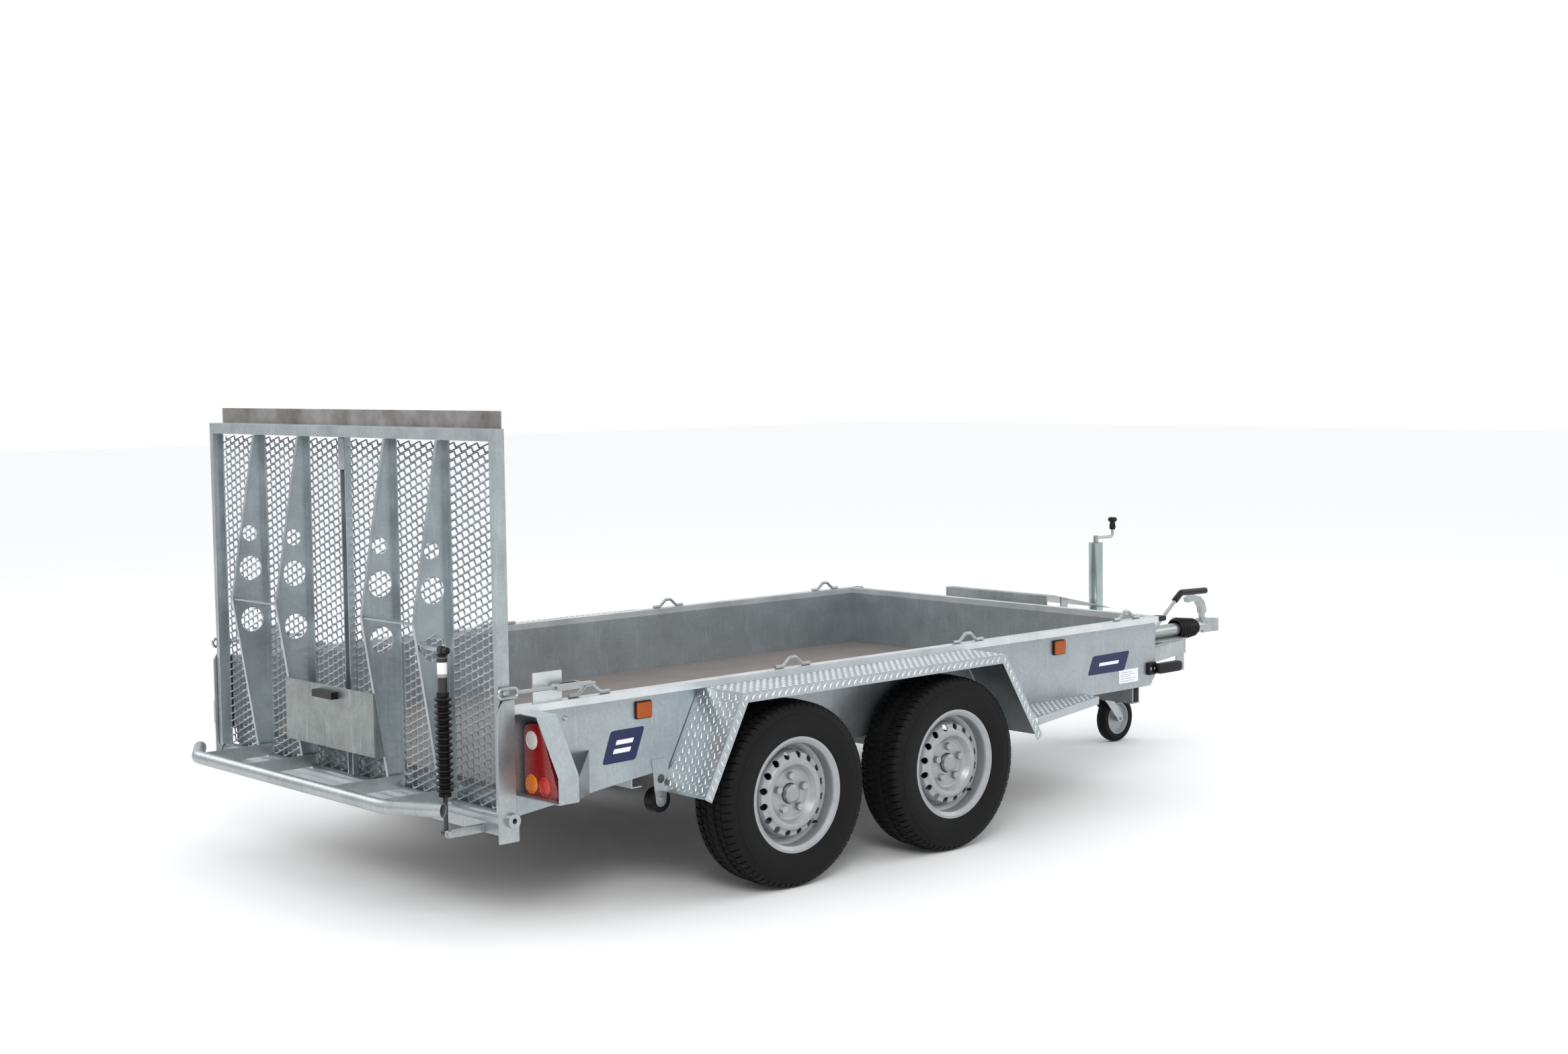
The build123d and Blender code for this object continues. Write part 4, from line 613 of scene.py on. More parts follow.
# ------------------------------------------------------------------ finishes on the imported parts
@dataclass(frozen=True)
class Dressing:
    """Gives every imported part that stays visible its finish."""

    finishes: dict = field(default_factory=lambda: {
        F.sheet: ("side_panel_right", "side_panel_left", "front_wall", "tail_lamp_guards"),
        F.section: ("chassis_frame", "drawbar_frame", "axle_tubes", "roller_hangers",
                    "bucket_rest", "ramp_bumper"),
        F.ramp_frame: ("ramp_ribs", "ramp_centre_upright", "ramp_frame"),
        F.chequer: ("mudguards_and_steps",),
        F.dull_plate: ("number_plate_panel",),
        F.plated: ("lashing_hoops", "latch_lever_right", "latch_lever_left", "latch_eye_right",
                   "latch_eye_left", "jockey_crank", "jockey_fork", "coupling_handle",
                   "handbrake_lever"),
        F.plated_blue: ("jockey_outer_tube", "jockey_inner_tube"),
        F.casting: ("coupling_head", "overrun_housing"),
        F.wheel_paint: ("jockey_wheel_rim",),
        F.plastic: ("jockey_crank_knob", "number_plate_lamp", "handbrake_grip"),
        F.enamel: ("strut_rod",),
        F.rubber: ("support_rollers",),
        F.floor: ("floor_board",),
    })

    def dress(self, nodes: dict[str, bpy.types.Object]) -> None:
        """Swaps each part's material.

        Args:
            nodes: the frame's parts by name.
        """
        table = {name: finish for finish, names in self.finishes.items() for name in names}
        for name, node in nodes.items():
            finish = table.get(name)
            if name.startswith("suspension_arm"):
                finish = F.arm
            elif name.startswith("wheel_hub"):
                finish = F.hub
            elif name.startswith("wheel_rim"):
                finish = F.wheel_paint
            if finish is None:
                continue
            for i in range(max(1, len(node.data.materials))):
                if i < len(node.data.materials):
                    node.data.materials[i] = finish.build()
                else:
                    node.data.materials.append(finish.build())
            LOG.info("%s: %s", name, finish.name)


# ------------------------------------------------------------------ expanded metal
@dataclass(frozen=True)
class ExpandedMetal:
    """Ramp deck of raised expanded metal: rows of zigzag strands that meet at bonds."""

    half_width: float = 812.0
    low: float = 364.5
    high: float = 1421.5
    row: float = 12.5              # height between bonds
    pitch: float = 60.0            # long way of a diamond
    swing: float = 5.6             # how far bonds lean in and out
    strand: float = 2.9            # half width of a strand
    thick: float = 1.0             # half thickness of a strand
    plane: float = -10.0           # middle of the sheet, from the tail

    def points(self, index: int) -> list[Vector]:
        """Centre line of one strand: rises to the bond above and falls to the bond below."""
        middle = self.low + self.row * (index + 0.5)
        line = []
        half = self.pitch / 2
        steps = int(self.half_width / half) + 2
        bond = 0.09                # share of a half pitch taken by the bond
        for k in range(-steps, steps + 1):
            sign = 1 if (k + index) % 2 == 0 else -1
            for place in (-bond, bond):
                y = (k + place) * half
                if abs(y) > self.half_width:
                    continue
                line.append(Vector((D.x(self.plane + sign * self.swing), y,
                                    middle + sign * (self.row / 2 - 0.4))))
        if line:
            line.insert(0, Vector((line[0].x, -self.half_width, line[0].z)))
            line.append(Vector((line[-1].x, self.half_width, line[-1].z)))
        return line

    def make(self) -> None:
        """Builds every strand and stands it for the closed sheet."""
        vertices: list[Vector] = []
        faces: list[tuple[int, ...]] = []
        rows = int((self.high - self.low) / self.row)
        wide = Vector((0.62, 0.0, 0.78))
        flat = Vector((0.78, 0.0, -0.62))
        for index in range(rows):
            line = self.points(index)
            start = len(vertices)
            for here in line:
                for a, b in ((1, 1), (1, -1), (-1, -1), (-1, 1)):
                    vertices.append(here + wide * self.strand * a + flat * self.thick * b)
            for i in range(len(line) - 1):
                for k in range(4):
                    a, b = start + i * 4 + k, start + i * 4 + (k + 1) % 4
                    faces.append((a, b, b + 4, a + 4))
            faces.append(tuple(start + k for k in range(4)))
            faces.append(tuple(start + (len(line) - 1) * 4 + k for k in range(4)))
        sheet = add_mesh("ramp_expanded_metal", vertices, faces, F.strands, None)
        put(sheet, "ramp", ("ramp_mesh",))


# ------------------------------------------------------------------ chequer plate
@dataclass(frozen=True)
class ChequerPlate:
    """Raised lugs of five-bar tread plate on the mudguards and steps."""

    length: float = 25.0
    width: float = 6.4
    height: float = 1.6
    column: float = 30.0           # between columns of like lugs, across the first edge
    row: float = 27.0              # between like lugs along the first edge
    short: float = 0.62            # length of the leaning lugs

    def lug(self, vertices: list, faces: list, centre: Vector, along: Vector, normal: Vector,
            length: float) -> None:
        """Adds one lens-shaped lug.

        Args:
            vertices: list that grows.
            faces: list that grows.
            centre: middle of the lug on the plate.
            along: direction of the lug's length.
            normal: plate's outward normal.
            length: tip to tip.
        """
        across = normal.cross(along)
        start = len(vertices)
        shape = ((-0.5, 0.0), (-0.3, 0.36), (0.0, 0.5), (0.3, 0.36), (0.5, 0.0),
                 (0.3, -0.36), (0.0, -0.5), (-0.3, -0.36))
        for a, b in shape:
            vertices.append(centre + along * a * length + across * b * self.width
                            - normal * 0.3)
        for a, b in shape:
            vertices.append(centre + along * a * length * 0.72 + across * b * self.width * 0.55
                            + normal * self.height)
        for k in range(8):
            n = (k + 1) % 8
            faces.append((start + k, start + n, start + 8 + n, start + 8 + k))
        faces.append(tuple(start + 8 + k for k in range(8)))
        faces.append(tuple(start + 7 - k for k in range(8)))

    def panel(self, vertices: list, faces: list, corners: Sequence[Point],
              normal: Point, turn: float = 20.0) -> None:
        """Covers a flat four-cornered face with alternating lugs.

        Args:
            vertices: list that grows.
            faces: list that grows.
            corners: the face's corners in order, in millimetres.
            normal: outward normal.
            turn: angle of the long lugs to the face's first edge, in degrees.
        """
        points = [Vector(c) for c in corners]
        outward = Vector(normal).normalized()
        first = (points[1] - points[0]).normalized()
        second = outward.cross(first).normalized()
        flat = [((p - points[0]).dot(first), (p - points[0]).dot(second)) for p in points]
        lows = [min(f[i] for f in flat) for i in (0, 1)]
        highs = [max(f[i] for f in flat) for i in (0, 1)]
        i_max = int((highs[0] - lows[0]) / (self.row / 2)) + 1
        j_max = int((highs[1] - lows[1]) / (self.column / 2)) + 1
        for i in range(i_max + 1):
            for j in range(j_max + 1):
                if (i + j) % 2:
                    continue
                u, v = lows[0] + i * self.row / 2, lows[1] + j * self.column / 2
                leaning = j % 2 == 1
                angle = math.radians(turn - 70 if leaning else turn)
                length = self.length * (self.short if leaning else 1.0)
                half = length / 2 * 0.6
                reach = (abs(math.cos(angle)) * half + 2, abs(math.sin(angle)) * half + 2)
                if not self.inside(flat, u, v, reach):
                    continue
                along = first * math.cos(angle) + second * math.sin(angle)
                self.lug(vertices, faces, points[0] + first * u + second * v, along, outward,
                         length)

    def edging(self, vertices: list, faces: list, start: Point, end: Point,
               normal: Point) -> None:
        """One row of slanting lugs along a narrow edge.

        Args:
            vertices: list that grows.
            faces: list that grows.
            start: start of the edge's middle line.
            end: end of that line.
            normal: outward normal.
        """
        first, outward = Vector(start), Vector(normal).normalized()
        run = Vector(end) - first
        along = run.normalized()
        lean = (along * 0.62 + outward.cross(along).normalized() * 0.78).normalized()
        if lean.z < 0:
            lean = (along * 0.62 - outward.cross(along).normalized() * 0.78).normalized()
        count = int(run.length / self.row)
        for k in range(count):
            centre = first + along * self.row * (k + 0.5)
            self.lug(vertices, faces, centre, lean, outward, self.length * 1.05)

    @staticmethod
    def inside(flat: Sequence[tuple[float, float]], u: float, v: float,
               reach: tuple[float, float]) -> bool:
        """Whether a lug of that reach lies wholly on the face."""
        for du in (-reach[0], reach[0]):
            for dv in (-reach[1], reach[1]):
                x, y = u + du, v + dv
                signs = []
                for k, (ax, ay) in enumerate(flat):
                    bx, by = flat[(k + 1) % len(flat)]
                    signs.append((bx - ax) * (y - ay) - (by - ay) * (x - ax))
                if min(signs) < 0 < max(signs):
                    return False
        return True


@dataclass(frozen=True)
class Mudguards:
    """Chequer plate lugs over the guards, their lips and the steps."""

    plate: ChequerPlate = ChequerPlate()
    inner: float = 806.0
    outer: float = 1016.0
    lip: float = 30.0
    profile: tuple = ((558.0, 341.0), (717.0, 643.0), (1903.0, 643.0), (2089.0, 344.0))
    step_top: float = 408.0
    step_start: float = 2052.0
    step_end: float = 2570.0
    step_end_out: float = 873.0

    def make(self) -> None:
        """Builds the lugs of both sides."""
        for side in Side:
            vertices: list[Vector] = []
            faces: list[tuple[int, ...]] = []
            near, far = mirrored(self.inner, side), mirrored(self.outer, side)
            for (x0, z0), (x1, z1) in zip(self.profile, self.profile[1:]):
                start, end = (D.x(x0), z0), (D.x(x1), z1)
                run = Vector((end[0] - start[0], 0.0, end[1] - start[1])).normalized()
                up = Vector((-run.z, 0.0, run.x))
                corners = [(start[0], near, start[1]), (end[0], near, end[1]),
                           (end[0], far, end[1]), (start[0], far, start[1])]
                self.plate.panel(vertices, faces, corners, up)
                middle = -up * self.lip / 2 - Vector((0, side.value * 1.6, 0))
                self.plate.edging(vertices, faces, Vector(corners[3]) + middle,
                                  Vector(corners[2]) + middle, (0, side.value, 0))
            step = [(D.x(self.step_start), near, self.step_top),
                    (D.x(self.step_end), near, self.step_top),
                    (D.x(self.step_end), mirrored(self.step_end_out, side), self.step_top),
                    (D.x(self.step_start), far, self.step_top)]
            self.plate.panel(vertices, faces, step, (0, 0, 1))
            lugs = add_mesh(f"chequer_lugs_{side.name.lower()}", vertices, faces, F.lugs, 60.0)
            put(lugs, "chassis")


@dataclass(frozen=True)
class GuardShell:
    """Mudguards with the outer lip drawn in by a lug's height, so that the lugs end at the edge."""

    outer: float = 1016.0
    draw_in: float = 1.6

    def make(self, source: bpy.types.Object) -> None:
        """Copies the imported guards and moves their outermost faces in."""
        mesh = source.data.copy()
        mesh.name = "mudguard_plates"
        for vertex in mesh.vertices:
            if abs(vertex.co.y) > (self.outer - 0.4) * MM:
                vertex.co.y -= math.copysign(self.draw_in * MM, vertex.co.y)
        mesh.materials.clear()
        mesh.materials.append(F.chequer.build())
        plates = bpy.data.objects.new("mudguard_plates", mesh)
        bpy.context.scene.collection.objects.link(plates)
        put(plates, "chassis", ("mudguards_and_steps",))


# ------------------------------------------------------------------ wheels
@dataclass(frozen=True)
class Tyre:
    """Trailer tyre 185/70 R13 with a block tread cut from the crown."""

    radius: float = 294.0
    middle: float = 906.0          # out from the centre line
    pitches: int = 71
    groove: float = 7.0
    slot: float = 5.5
    lean: float = 0.55             # how far the slots lean, in pitches
    shoulder: float = 76.0
    shoulder_slot: float = 2.5     # depth of the slots at the shoulder's edge
    rib_slot: float = 1.6          # depth of the slits in the middle rib
    inner_blocks: float = 43.0     # blocks nearer the middle have their slots staggered

    def section(self) -> list[tuple[float, float, str]]:
        """Outline of half the section from the bead to the crown as (offset, radius, zone)."""
        return [(62, 172, "wall"), (72, 178, "wall"), (80.5, 184.5, "wall"), (83.5, 190, "wall"),
                (84.5, 194, "wall"), (85.2, 195, "wall"), (85.2, 199, "wall"),
                (88.0, 206, "wall"), (90.6, 218, "wall"), (92.2, 231, "wall"),
                (92.4, 236, "wall"), (91.8, 246, "wall"), (91.2, 252, "wall"),
                (92.0, 253, "wall"), (91.4, 257, "wall"), (89.6, 258, "wall"),
                (87.2, 266, "wall"), (84.2, 274, "wall"), (81.4, 279.0, "edge"),
                (77.5, 285.2, "lug"), (72.0, 288.6, "lug"), (63.0, 290.6, "lug"),
                (54.0, 291.6, "lug"), (51.0, 291.8, "lug"), (49.6, 291.9, "groove"),
                (43.4, 292.3, "groove"), (42.0, 292.4, "lug"), (32.0, 293.0, "lug"),
                (22.0, 293.4, "lug"), (20.6, 293.4, "groove"), (14.4, 293.7, "groove"),
                (13.0, 293.7, "rib"), (5.0, 294.0, "rib")]

    def mesh(self) -> bpy.types.Mesh:
        """Builds the tyre about its own centre, with the axle along Y."""
        half = self.section()
        outline = [(-w, r, z) for w, r, z in half] + [(w, r, z) for w, r, z in reversed(half)]
        marks = (0.0, 0.06, 0.40, 0.74, 0.80, 0.83, 0.97)
        slotted = (5, 6)
        stagger = 3
        vertices, faces = [], []
        count = len(outline)
        for pitch in range(self.pitches):
            for number, mark in enumerate(marks):
                for wide, radius, zone in outline:
                    place = min(abs(wide), self.shoulder + 3) / self.shoulder
                    angle = 2 * math.pi * (pitch + mark + self.lean * place ** 1.2) / self.pitches
                    offset = stagger if abs(wide) < self.inner_blocks else 0
                    drop = 0.0
                    if zone == "groove":
                        drop = self.groove
                    elif zone == "lug" and (number + offset) % len(marks) in slotted:
                        drop = self.slot
                    elif zone == "rib" and number == slotted[0]:
                        drop = self.rib_slot
                    elif zone == "edge" and number in slotted:
                        drop = self.shoulder_slot
                    r = radius - drop
                    vertices.append((r * math.cos(angle), wide, r * math.sin(angle)))
        rings = self.pitches * len(marks)
        for i in range(rings):
            n = (i + 1) % rings
            for j in range(count - 1):
                faces.append((i * count + j, i * count + j + 1, n * count + j + 1, n * count + j))
            faces.append((i * count + count - 1, i * count, n * count, n * count + count - 1))
        mesh = bpy.data.meshes.new("road_tyre")
        mesh.from_pydata([Vector(v) * MM for v in vertices], [], faces)
        tidy = bmesh.new()
        tidy.from_mesh(mesh)
        bmesh.ops.recalc_face_normals(tidy, faces=tidy.faces)
        tidy.to_mesh(mesh)
        tidy.free()
        mesh.shade_smooth()
        mesh.set_sharp_from_angle(angle=math.radians(28))
        mesh.materials.append(F.tyre.build())
        return mesh


@dataclass(frozen=True)
class RoadWheels:
    """Tyres, bolt covers and valves of the four road wheels."""

    tyre: Tyre = Tyre()
    places: tuple = (("rear", 960.0), ("front", 1676.0))
    height: float = 294.0
    bolt_ring: float = 56.0
    bolt_flats: float = 23.0
    bolt_face: float = 948.0
    bolt_length: float = 15.0
    rim_face: float = 986.0
    valve_ring: float = 137.0

    def bolt_covers(self, x: float, side: Side) -> bpy.types.Object:
        """Five hexagon bolt heads with chamfered crowns."""
        vertices, faces = [], []
        corner = self.bolt_flats / math.sqrt(3)
        for i in range(5):
            turn = math.radians(90 + 72 * i)
            cx = x + self.bolt_ring * math.cos(turn)
            cz = self.height + self.bolt_ring * math.sin(turn)
            rings = ((corner, 0.2), (corner, self.bolt_length - 3.5),
                     (corner * 0.86, self.bolt_length - 0.4), (corner * 0.55, self.bolt_length))
            start = len(vertices)
            for radius, out in rings:
                for k in range(6):
                    a = turn + math.pi / 3 * k
                    vertices.append((cx + radius * math.cos(a),
                                     mirrored(self.bolt_face + out, side),
                                     cz + radius * math.sin(a)))
            for ring in range(len(rings) - 1):
                for k in range(6):
                    a, b = start + ring * 6 + k, start + ring * 6 + (k + 1) % 6
                    faces.append((a, b, b + 6, a + 6))
            faces.append(tuple(start + k for k in range(6)))
            faces.append(tuple(start + 18 + k for k in range(6)))
        return add_mesh("bolts", vertices, faces, F.bolts, 25.0)

    def valve(self, x: float, side: Side) -> bpy.types.Object:
        """Rubber snap-in valve leaning out of the rim well."""
        turn = math.radians(-48)
        spoke = Vector((math.cos(turn), 0.0, math.sin(turn)))
        foot = Vector((x, 0, self.height)) + spoke * (self.valve_ring + 6)
        line = []
        for inward, back in ((0.0, 44.0), (3.0, 32.0), (7.0, 20.0), (9.0, 12.0)):
            here = foot - spoke * inward
            line.append((here.x, mirrored(self.rim_face - back, side), here.z))
        vertices, faces = tube(line, 4.6, 14)
        return add_mesh("valve", vertices, faces, F.rubber, 50.0)

    def make(self) -> None:
        """Builds the four wheels' pieces on one shared tyre mesh."""
        shared = self.tyre.mesh()
        for end, from_tail in self.places:
            for side in Side:
                label = f"{end}_{side.name.lower()}"
                x = D.x(from_tail)
                carcass = bpy.data.objects.new(f"tyre_{label}", shared)
                bpy.context.scene.collection.objects.link(carcass)
                turn = Matrix.Rotation(math.pi if side is Side.RIGHT else 0.0, 4, "Z")
                place = Vector((x, mirrored(self.tyre.middle, side), self.height)) * MM
                carcass.matrix_world = Matrix.Translation(place) @ turn
                put(carcass, f"wheel_{label}", (f"wheel_tyre_{label}",))
                bolts = self.bolt_covers(x, side)
                bolts.name = f"wheel_bolts_{label}"
                put(bolts, f"wheel_{label}")
                valve = self.valve(x, side)
                valve.name = f"wheel_valve_{label}"
                put(valve, f"wheel_{label}")


@dataclass(frozen=True)
class JockeyTyre:
    """Solid rubber tyre of the jockey wheel with a rounded tread."""

    x: float = 3692.0
    y: float = -46.0
    radius: float = 100.0
    half: float = 25.0
    seat: float = 68.5

    def make(self) -> None:
        """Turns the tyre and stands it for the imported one."""
        outline = [(self.seat, -22.0), (76, -24.4), (84, -25), (91, -23.4), (96, -19.6),
                   (98.6, -14.0), (99.8, -7.0), (100, 0)]
        outline += [(r, -w) for r, w in reversed(outline[:-1])]
        vertices, faces = turned(outline, (D.x(self.x), self.y, self.radius), (0, 1, 0), 96)
        put(add_mesh("jockey_solid_tyre", vertices, faces, F.tyre, 50.0), "jockey_wheel",
            ("jockey_tyre",))


# ------------------------------------------------------------------ bellows and strut
@dataclass(frozen=True)
class Bellows:
    """Pleated rubber sleeve."""

    name: str
    centre: tuple[float, float, float]     # start of the sleeve on its axis, from the tail
    axis: tuple[float, float, float]
    length: float
    crest_start: float
    crest_end: float
    root_share: float
    pleats: int
    cuff: float = 10.0

    def make(self) -> bpy.types.Object:
        """Turns the pleats as a thin wall with plain cuffs at both ends."""
        outer = [(self.crest_start * self.root_share + 2.0, 0.0),
                 (self.crest_start * self.root_share + 2.0, self.cuff)]
        span = self.length - 2 * self.cuff
        for i in range(self.pleats):
            share = (i + 0.5) / self.pleats
            crest = self.crest_start + (self.crest_end - self.crest_start) * share
            root = crest * self.root_share
            pitch = span / self.pleats
            start = self.cuff + i * pitch
            outer += [(root, start + pitch * 0.06), (crest * 0.93, start + pitch * 0.34),
                      (crest, start + pitch * 0.44), (crest, start + pitch * 0.56),
                      (crest * 0.93, start + pitch * 0.66), (root, start + pitch * 0.94)]
        end_root = self.crest_end * self.root_share + 2.0
        outer += [(end_root, self.length - self.cuff), (end_root, self.length)]
        inner = [(r - 1.6, w) for r, w in reversed(outer)]
        start = (D.x(self.centre[0]), self.centre[1], self.centre[2])
        vertices, faces = turned(outer + inner, start, self.axis, 64)
        return add_mesh(self.name, vertices, faces, F.rubber, 40.0)


@dataclass(frozen=True)
class Strut:
    """Black gas strut of the ramp: label, collar, bolt and pleated sleeve."""

    x: float = -112.0
    y: float = -646.0
    sleeve: Bellows = Bellows("strut_pleated_sleeve", (-112.0, -646.0, 398.0), (0, 0, 1), 302.0,
                              26.0, 26.0, 0.62, 15)
    label_low: float = 745.0
    label_high: float = 803.0
    label_foot: float = 10.0       # grey bands at the label's lower and upper ends
    label_head: float = 8.0
    eye: float = 823.0

    def make(self) -> None:
        """Builds the sleeve, the label and the bolt head."""
        sleeve = self.sleeve.make()
        put(sleeve, "strut_lower", ("strut_bellows",))
        D.x(self.x) * MM
        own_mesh(sleeve)
        rows = (self.label_low, self.label_low + self.label_foot, self.label_high - self.label_head,
                self.label_high)
        pieces = []
        for low, high, finish in zip(rows, rows[1:], (F.grey_print, F.white_film, F.grey_print)):
            outline = [(14.2, low), (14.7, low), (14.7, high), (14.2, high)]
            vertices, faces = turned(outline, (D.x(self.x), self.y, 0), (0, 0, 1), 48)
            pieces.append(add_mesh("label", vertices, faces, finish, 40.0))
        put(joined("strut_label", pieces), "strut_upper")
        parts = []
        bolt = [(0.05, -30.5), (7.0, -30.5), (10.5, -27.5), (10.5, -20.0), (0.05, -20.0)]
        vertices, faces = turned(bolt, (D.x(self.x), self.y, self.eye), (0, 1, 0), 32)
        parts.append(add_mesh("bolt", vertices, faces, F.plastic, 40.0))
        collar = [(14.2, 806.0), (16.2, 806.0), (16.6, 809.0), (14.2, 811.0)]
        vertices, faces = turned(collar, (D.x(self.x), self.y, 0), (0, 0, 1), 48)
        parts.append(add_mesh("collar", vertices, faces, F.plastic, 40.0))
        put(joined("strut_top_fittings", parts), "strut_upper")


# ------------------------------------------------------------------ lamps
@dataclass(frozen=True)
class TailLamps:
    """Rear lamps: bevelled red bodies, black gaskets and three round lenses each."""

    face: float = 50.0             # rear face of the body, from the tail
    back: float = 92.0
    outline: tuple = ((13, 590), (27, 606), (81, 610), (163, 436), (159, 412), (147, 406.3),
                      (29, 406.3), (13, 422))
    white: tuple = (49.0, 566.0, 27.0)
    amber: tuple = (45.0, 439.0, 28.0)
    red: tuple = (109.0, 438.0, 28.0)
    margin: float = 4.5

    @staticmethod
    def grown(outline: Sequence[tuple[float, float]], by: float) -> list[tuple[float, float]]:
        """Outline moved out from its middle."""
        count = len(outline)
        middle = (sum(p[0] for p in outline) / count, sum(p[1] for p in outline) / count)
        return [(y + math.copysign(by, y - middle[0]), z + math.copysign(by, z - middle[1]))
                for y, z in outline]

    def lens(self, side: Side, place: tuple, finish: Finish) -> bpy.types.Object:
        """Round lens: raised ring and a shallow dome inside it."""
        out, height, radius = place
        outline = [(0.05, 3.0), (radius * 0.45, 2.7), (radius * 0.75, 2.0), (radius - 4.5, 1.0),
                   (radius - 4.0, 0.6), (radius - 3.4, 2.4), (radius - 1.2, 2.6), (radius, 1.6),
                   (radius, -1.0), (0.05, -1.0)]
        centre = (D.x(self.face), mirrored(D.panel + out, side), height)
        vertices, faces = turned(outline, centre, (-1, 0, 0), 64)
        return add_mesh("lens", vertices, faces, finish, 30.0)

    def make(self) -> None:
        """Builds both lamps."""
        reds, gaskets, ambers, clears = [], [], [], []
        for side in Side:
            core = [(D.panel + o, z) for o, z in self.outline]
            flat = rounded_outline(self.grown(core, self.margin), 9.0)
            body = [(D.x(self.back), mirrored(y, side), z) for y, z in flat]
            reds.append(bevelled_plate("red", body, (self.face - self.back, 0, 0), 5.0,
                                       F.red_lens, 4))
            rim = [(D.x(self.back), mirrored(y, side), z) for y, z in self.grown(flat, 2.4)]
            gaskets.append(bevelled_plate("gasket", rim, (-24.0, 0, 0), 2.0, F.rubber, 2))
            reds.append(self.lens(side, self.red, F.red_bright))
            ambers.append(self.lens(side, self.amber, F.amber_lens))
            clears.append(self.lens(side, self.white, F.clear_lens))
        put(joined("tail_lamp_bodies", reds), "chassis", ("tail_lamps_red",))
        put(joined("tail_lamp_gaskets", gaskets), "chassis")
        put(joined("tail_lamp_clear_lenses", clears), "chassis",
            ("reversing_lenses",))
        put(joined("tail_lamp_amber_lenses", ambers), "chassis")


@dataclass(frozen=True)
class SideLamps:
    """Amber side markers in black frames, front lamps on rubber arms and rail end caps."""

    markers: tuple = (495.0, 2424.0)
    half: float = 31.0
    low: float = 570.0
    high: float = 624.0
    proud: float = 14.0

    def block(self, corners: tuple, side: Side, finish: Finish, bevel: float,
              radius: float) -> bpy.types.Object:
        """Rounded block between two X places, two heights and two distances out."""
        x0, x1, z0, z1, near, far = corners
        flat = rounded_outline([(x0, z0), (x1, z0), (x1, z1), (x0, z1)], radius)
        outline = [(D.x(x), mirrored(near, side), z) for x, z in flat]
        return bevelled_plate("block", outline, (0, (far - near) * side.value, 0), bevel,
                              finish, 3)

    def make(self) -> None:
        """Builds the lamps and caps of both sides."""
        lenses, frames, fronts, caps = [], [], [], []
        for side in Side:
            near = D.panel + 0.05
            for x in self.markers:
                lenses.append(self.block((x - self.half + 3, x + self.half - 3, self.low + 3,
                                          self.high - 3, near + 3, near + self.proud),
                                         side, F.marker_lens, 3.0, 5.0))
                frames.append(self.block((x - self.half, x + self.half, self.low, self.high, near,
                                          near + 7), side, F.plastic, 1.5, 6.0))
            fronts.append(self.block((2972.0, 3120.0, 442.0, 482.0, 815.3, 836.7), side,
                                     F.rubber, 6.0, 19.0))
            fronts.append(self.block((2937.0, 2987.0, 440.0, 488.0, near, 815.4), side,
                                     F.rubber, 3.0, 10.0))
            caps.append(self.block((2967.2, 3017.0, 644.0, 664.0, 801.5, 838.0), side,
                                   F.plastic, 4.0, 8.0))
        put(joined("side_marker_lenses", lenses), "chassis", ("amber_lenses",))
        put(joined("side_marker_frames", frames), "chassis")
        put(joined("front_lamp_arms", fronts), "chassis",
            ("front_lamps_and_caps",))
        put(joined("rail_end_caps", caps), "chassis")


# ------------------------------------------------------------------ plates and small fittings
@dataclass(frozen=True)
class SidePlates:
    """Printed panels without lettering and the pale data plate on the right side."""

    first: tuple = ((344, 453), (458, 455), (496, 541), (379, 539))
    second: tuple = ((2597, 480), (2798, 479), (2830, 539), (2628, 537))
    data: tuple = ((2774, 424), (2887, 424), (2887, 474), (2774, 474))
    border: float = 6.0

    @staticmethod
    def inner(corners: Sequence[tuple[float, float]], along: float,
              up: float) -> tuple[float, float]:
        """Point at a share along and up a four-cornered outline."""
        (x0, z0), (x1, z1), (x2, z2), (x3, z3) = corners
        low = (x0 + (x1 - x0) * along, z0 + (z1 - z0) * along)
        high = (x3 + (x2 - x3) * along, z3 + (z2 - z3) * along)
        return (low[0] + (high[0] - low[0]) * up, low[1] + (high[1] - low[1]) * up)

    def film(self, corners: Sequence[tuple[float, float]], out: float, grow: float,
             finish: Finish, radius: float, thick: float = 0.35) -> bpy.types.Object:
        """Thin sheet stuck to the right panel."""
        middle = (sum(c[0] for c in corners) / 4, sum(c[1] for c in corners) / 4)
        grown = [(x + math.copysign(grow, x - middle[0]), z + math.copysign(grow, z - middle[1]))
                 for x, z in corners]
        flat = rounded_outline(grown, radius)
        face = -(D.panel + 0.05 + out)
        return bevelled_plate("film", [(D.x(x), face, z) for x, z in flat],
                              (0, -thick, 0), 0.0, finish)

    def make(self) -> None:
        """Builds the printed panels and the data plate."""
        pieces = []
        for corners in (self.first, self.second):
            pieces.append(self.film(corners, 0.0, 0.0, F.white_film, 14.0))
            pieces.append(self.film(corners, 0.35, -self.border, F.navy, 11.0, 0.25))
        for corners, rows in ((self.first, ((0.26, 0.42), (0.56, 0.72))),
                              (self.second, ((0.40, 0.60),))):
            for low, high in rows:
                bar = [self.inner(corners, a, b) for a, b in ((0.22, low), (0.78, low),
                                                              (0.78, high), (0.22, high))]
                pieces.append(self.film(bar, 0.6, 0.0, F.white_film, 2.0, 0.15))
        put(joined("printed_panels", pieces), "chassis")
        plate = [self.film(self.data, 0.0, 0.0, F.white_film, 3.0)]
        x0, z0 = self.data[0]
        for row in range(5):
            wide = (78, 92, 60, 84, 70)[row]
            low = z0 + 7 + row * 8
            bar = ((x0 + 8, low), (x0 + 8 + wide, low), (x0 + 8 + wide, low + 1.6),
                   (x0 + 8, low + 1.6))
            plate.append(self.film(bar, 0.35, 0.0, F.grey_print, 0.2, 0.12))
        put(joined("data_plate", plate), "chassis")


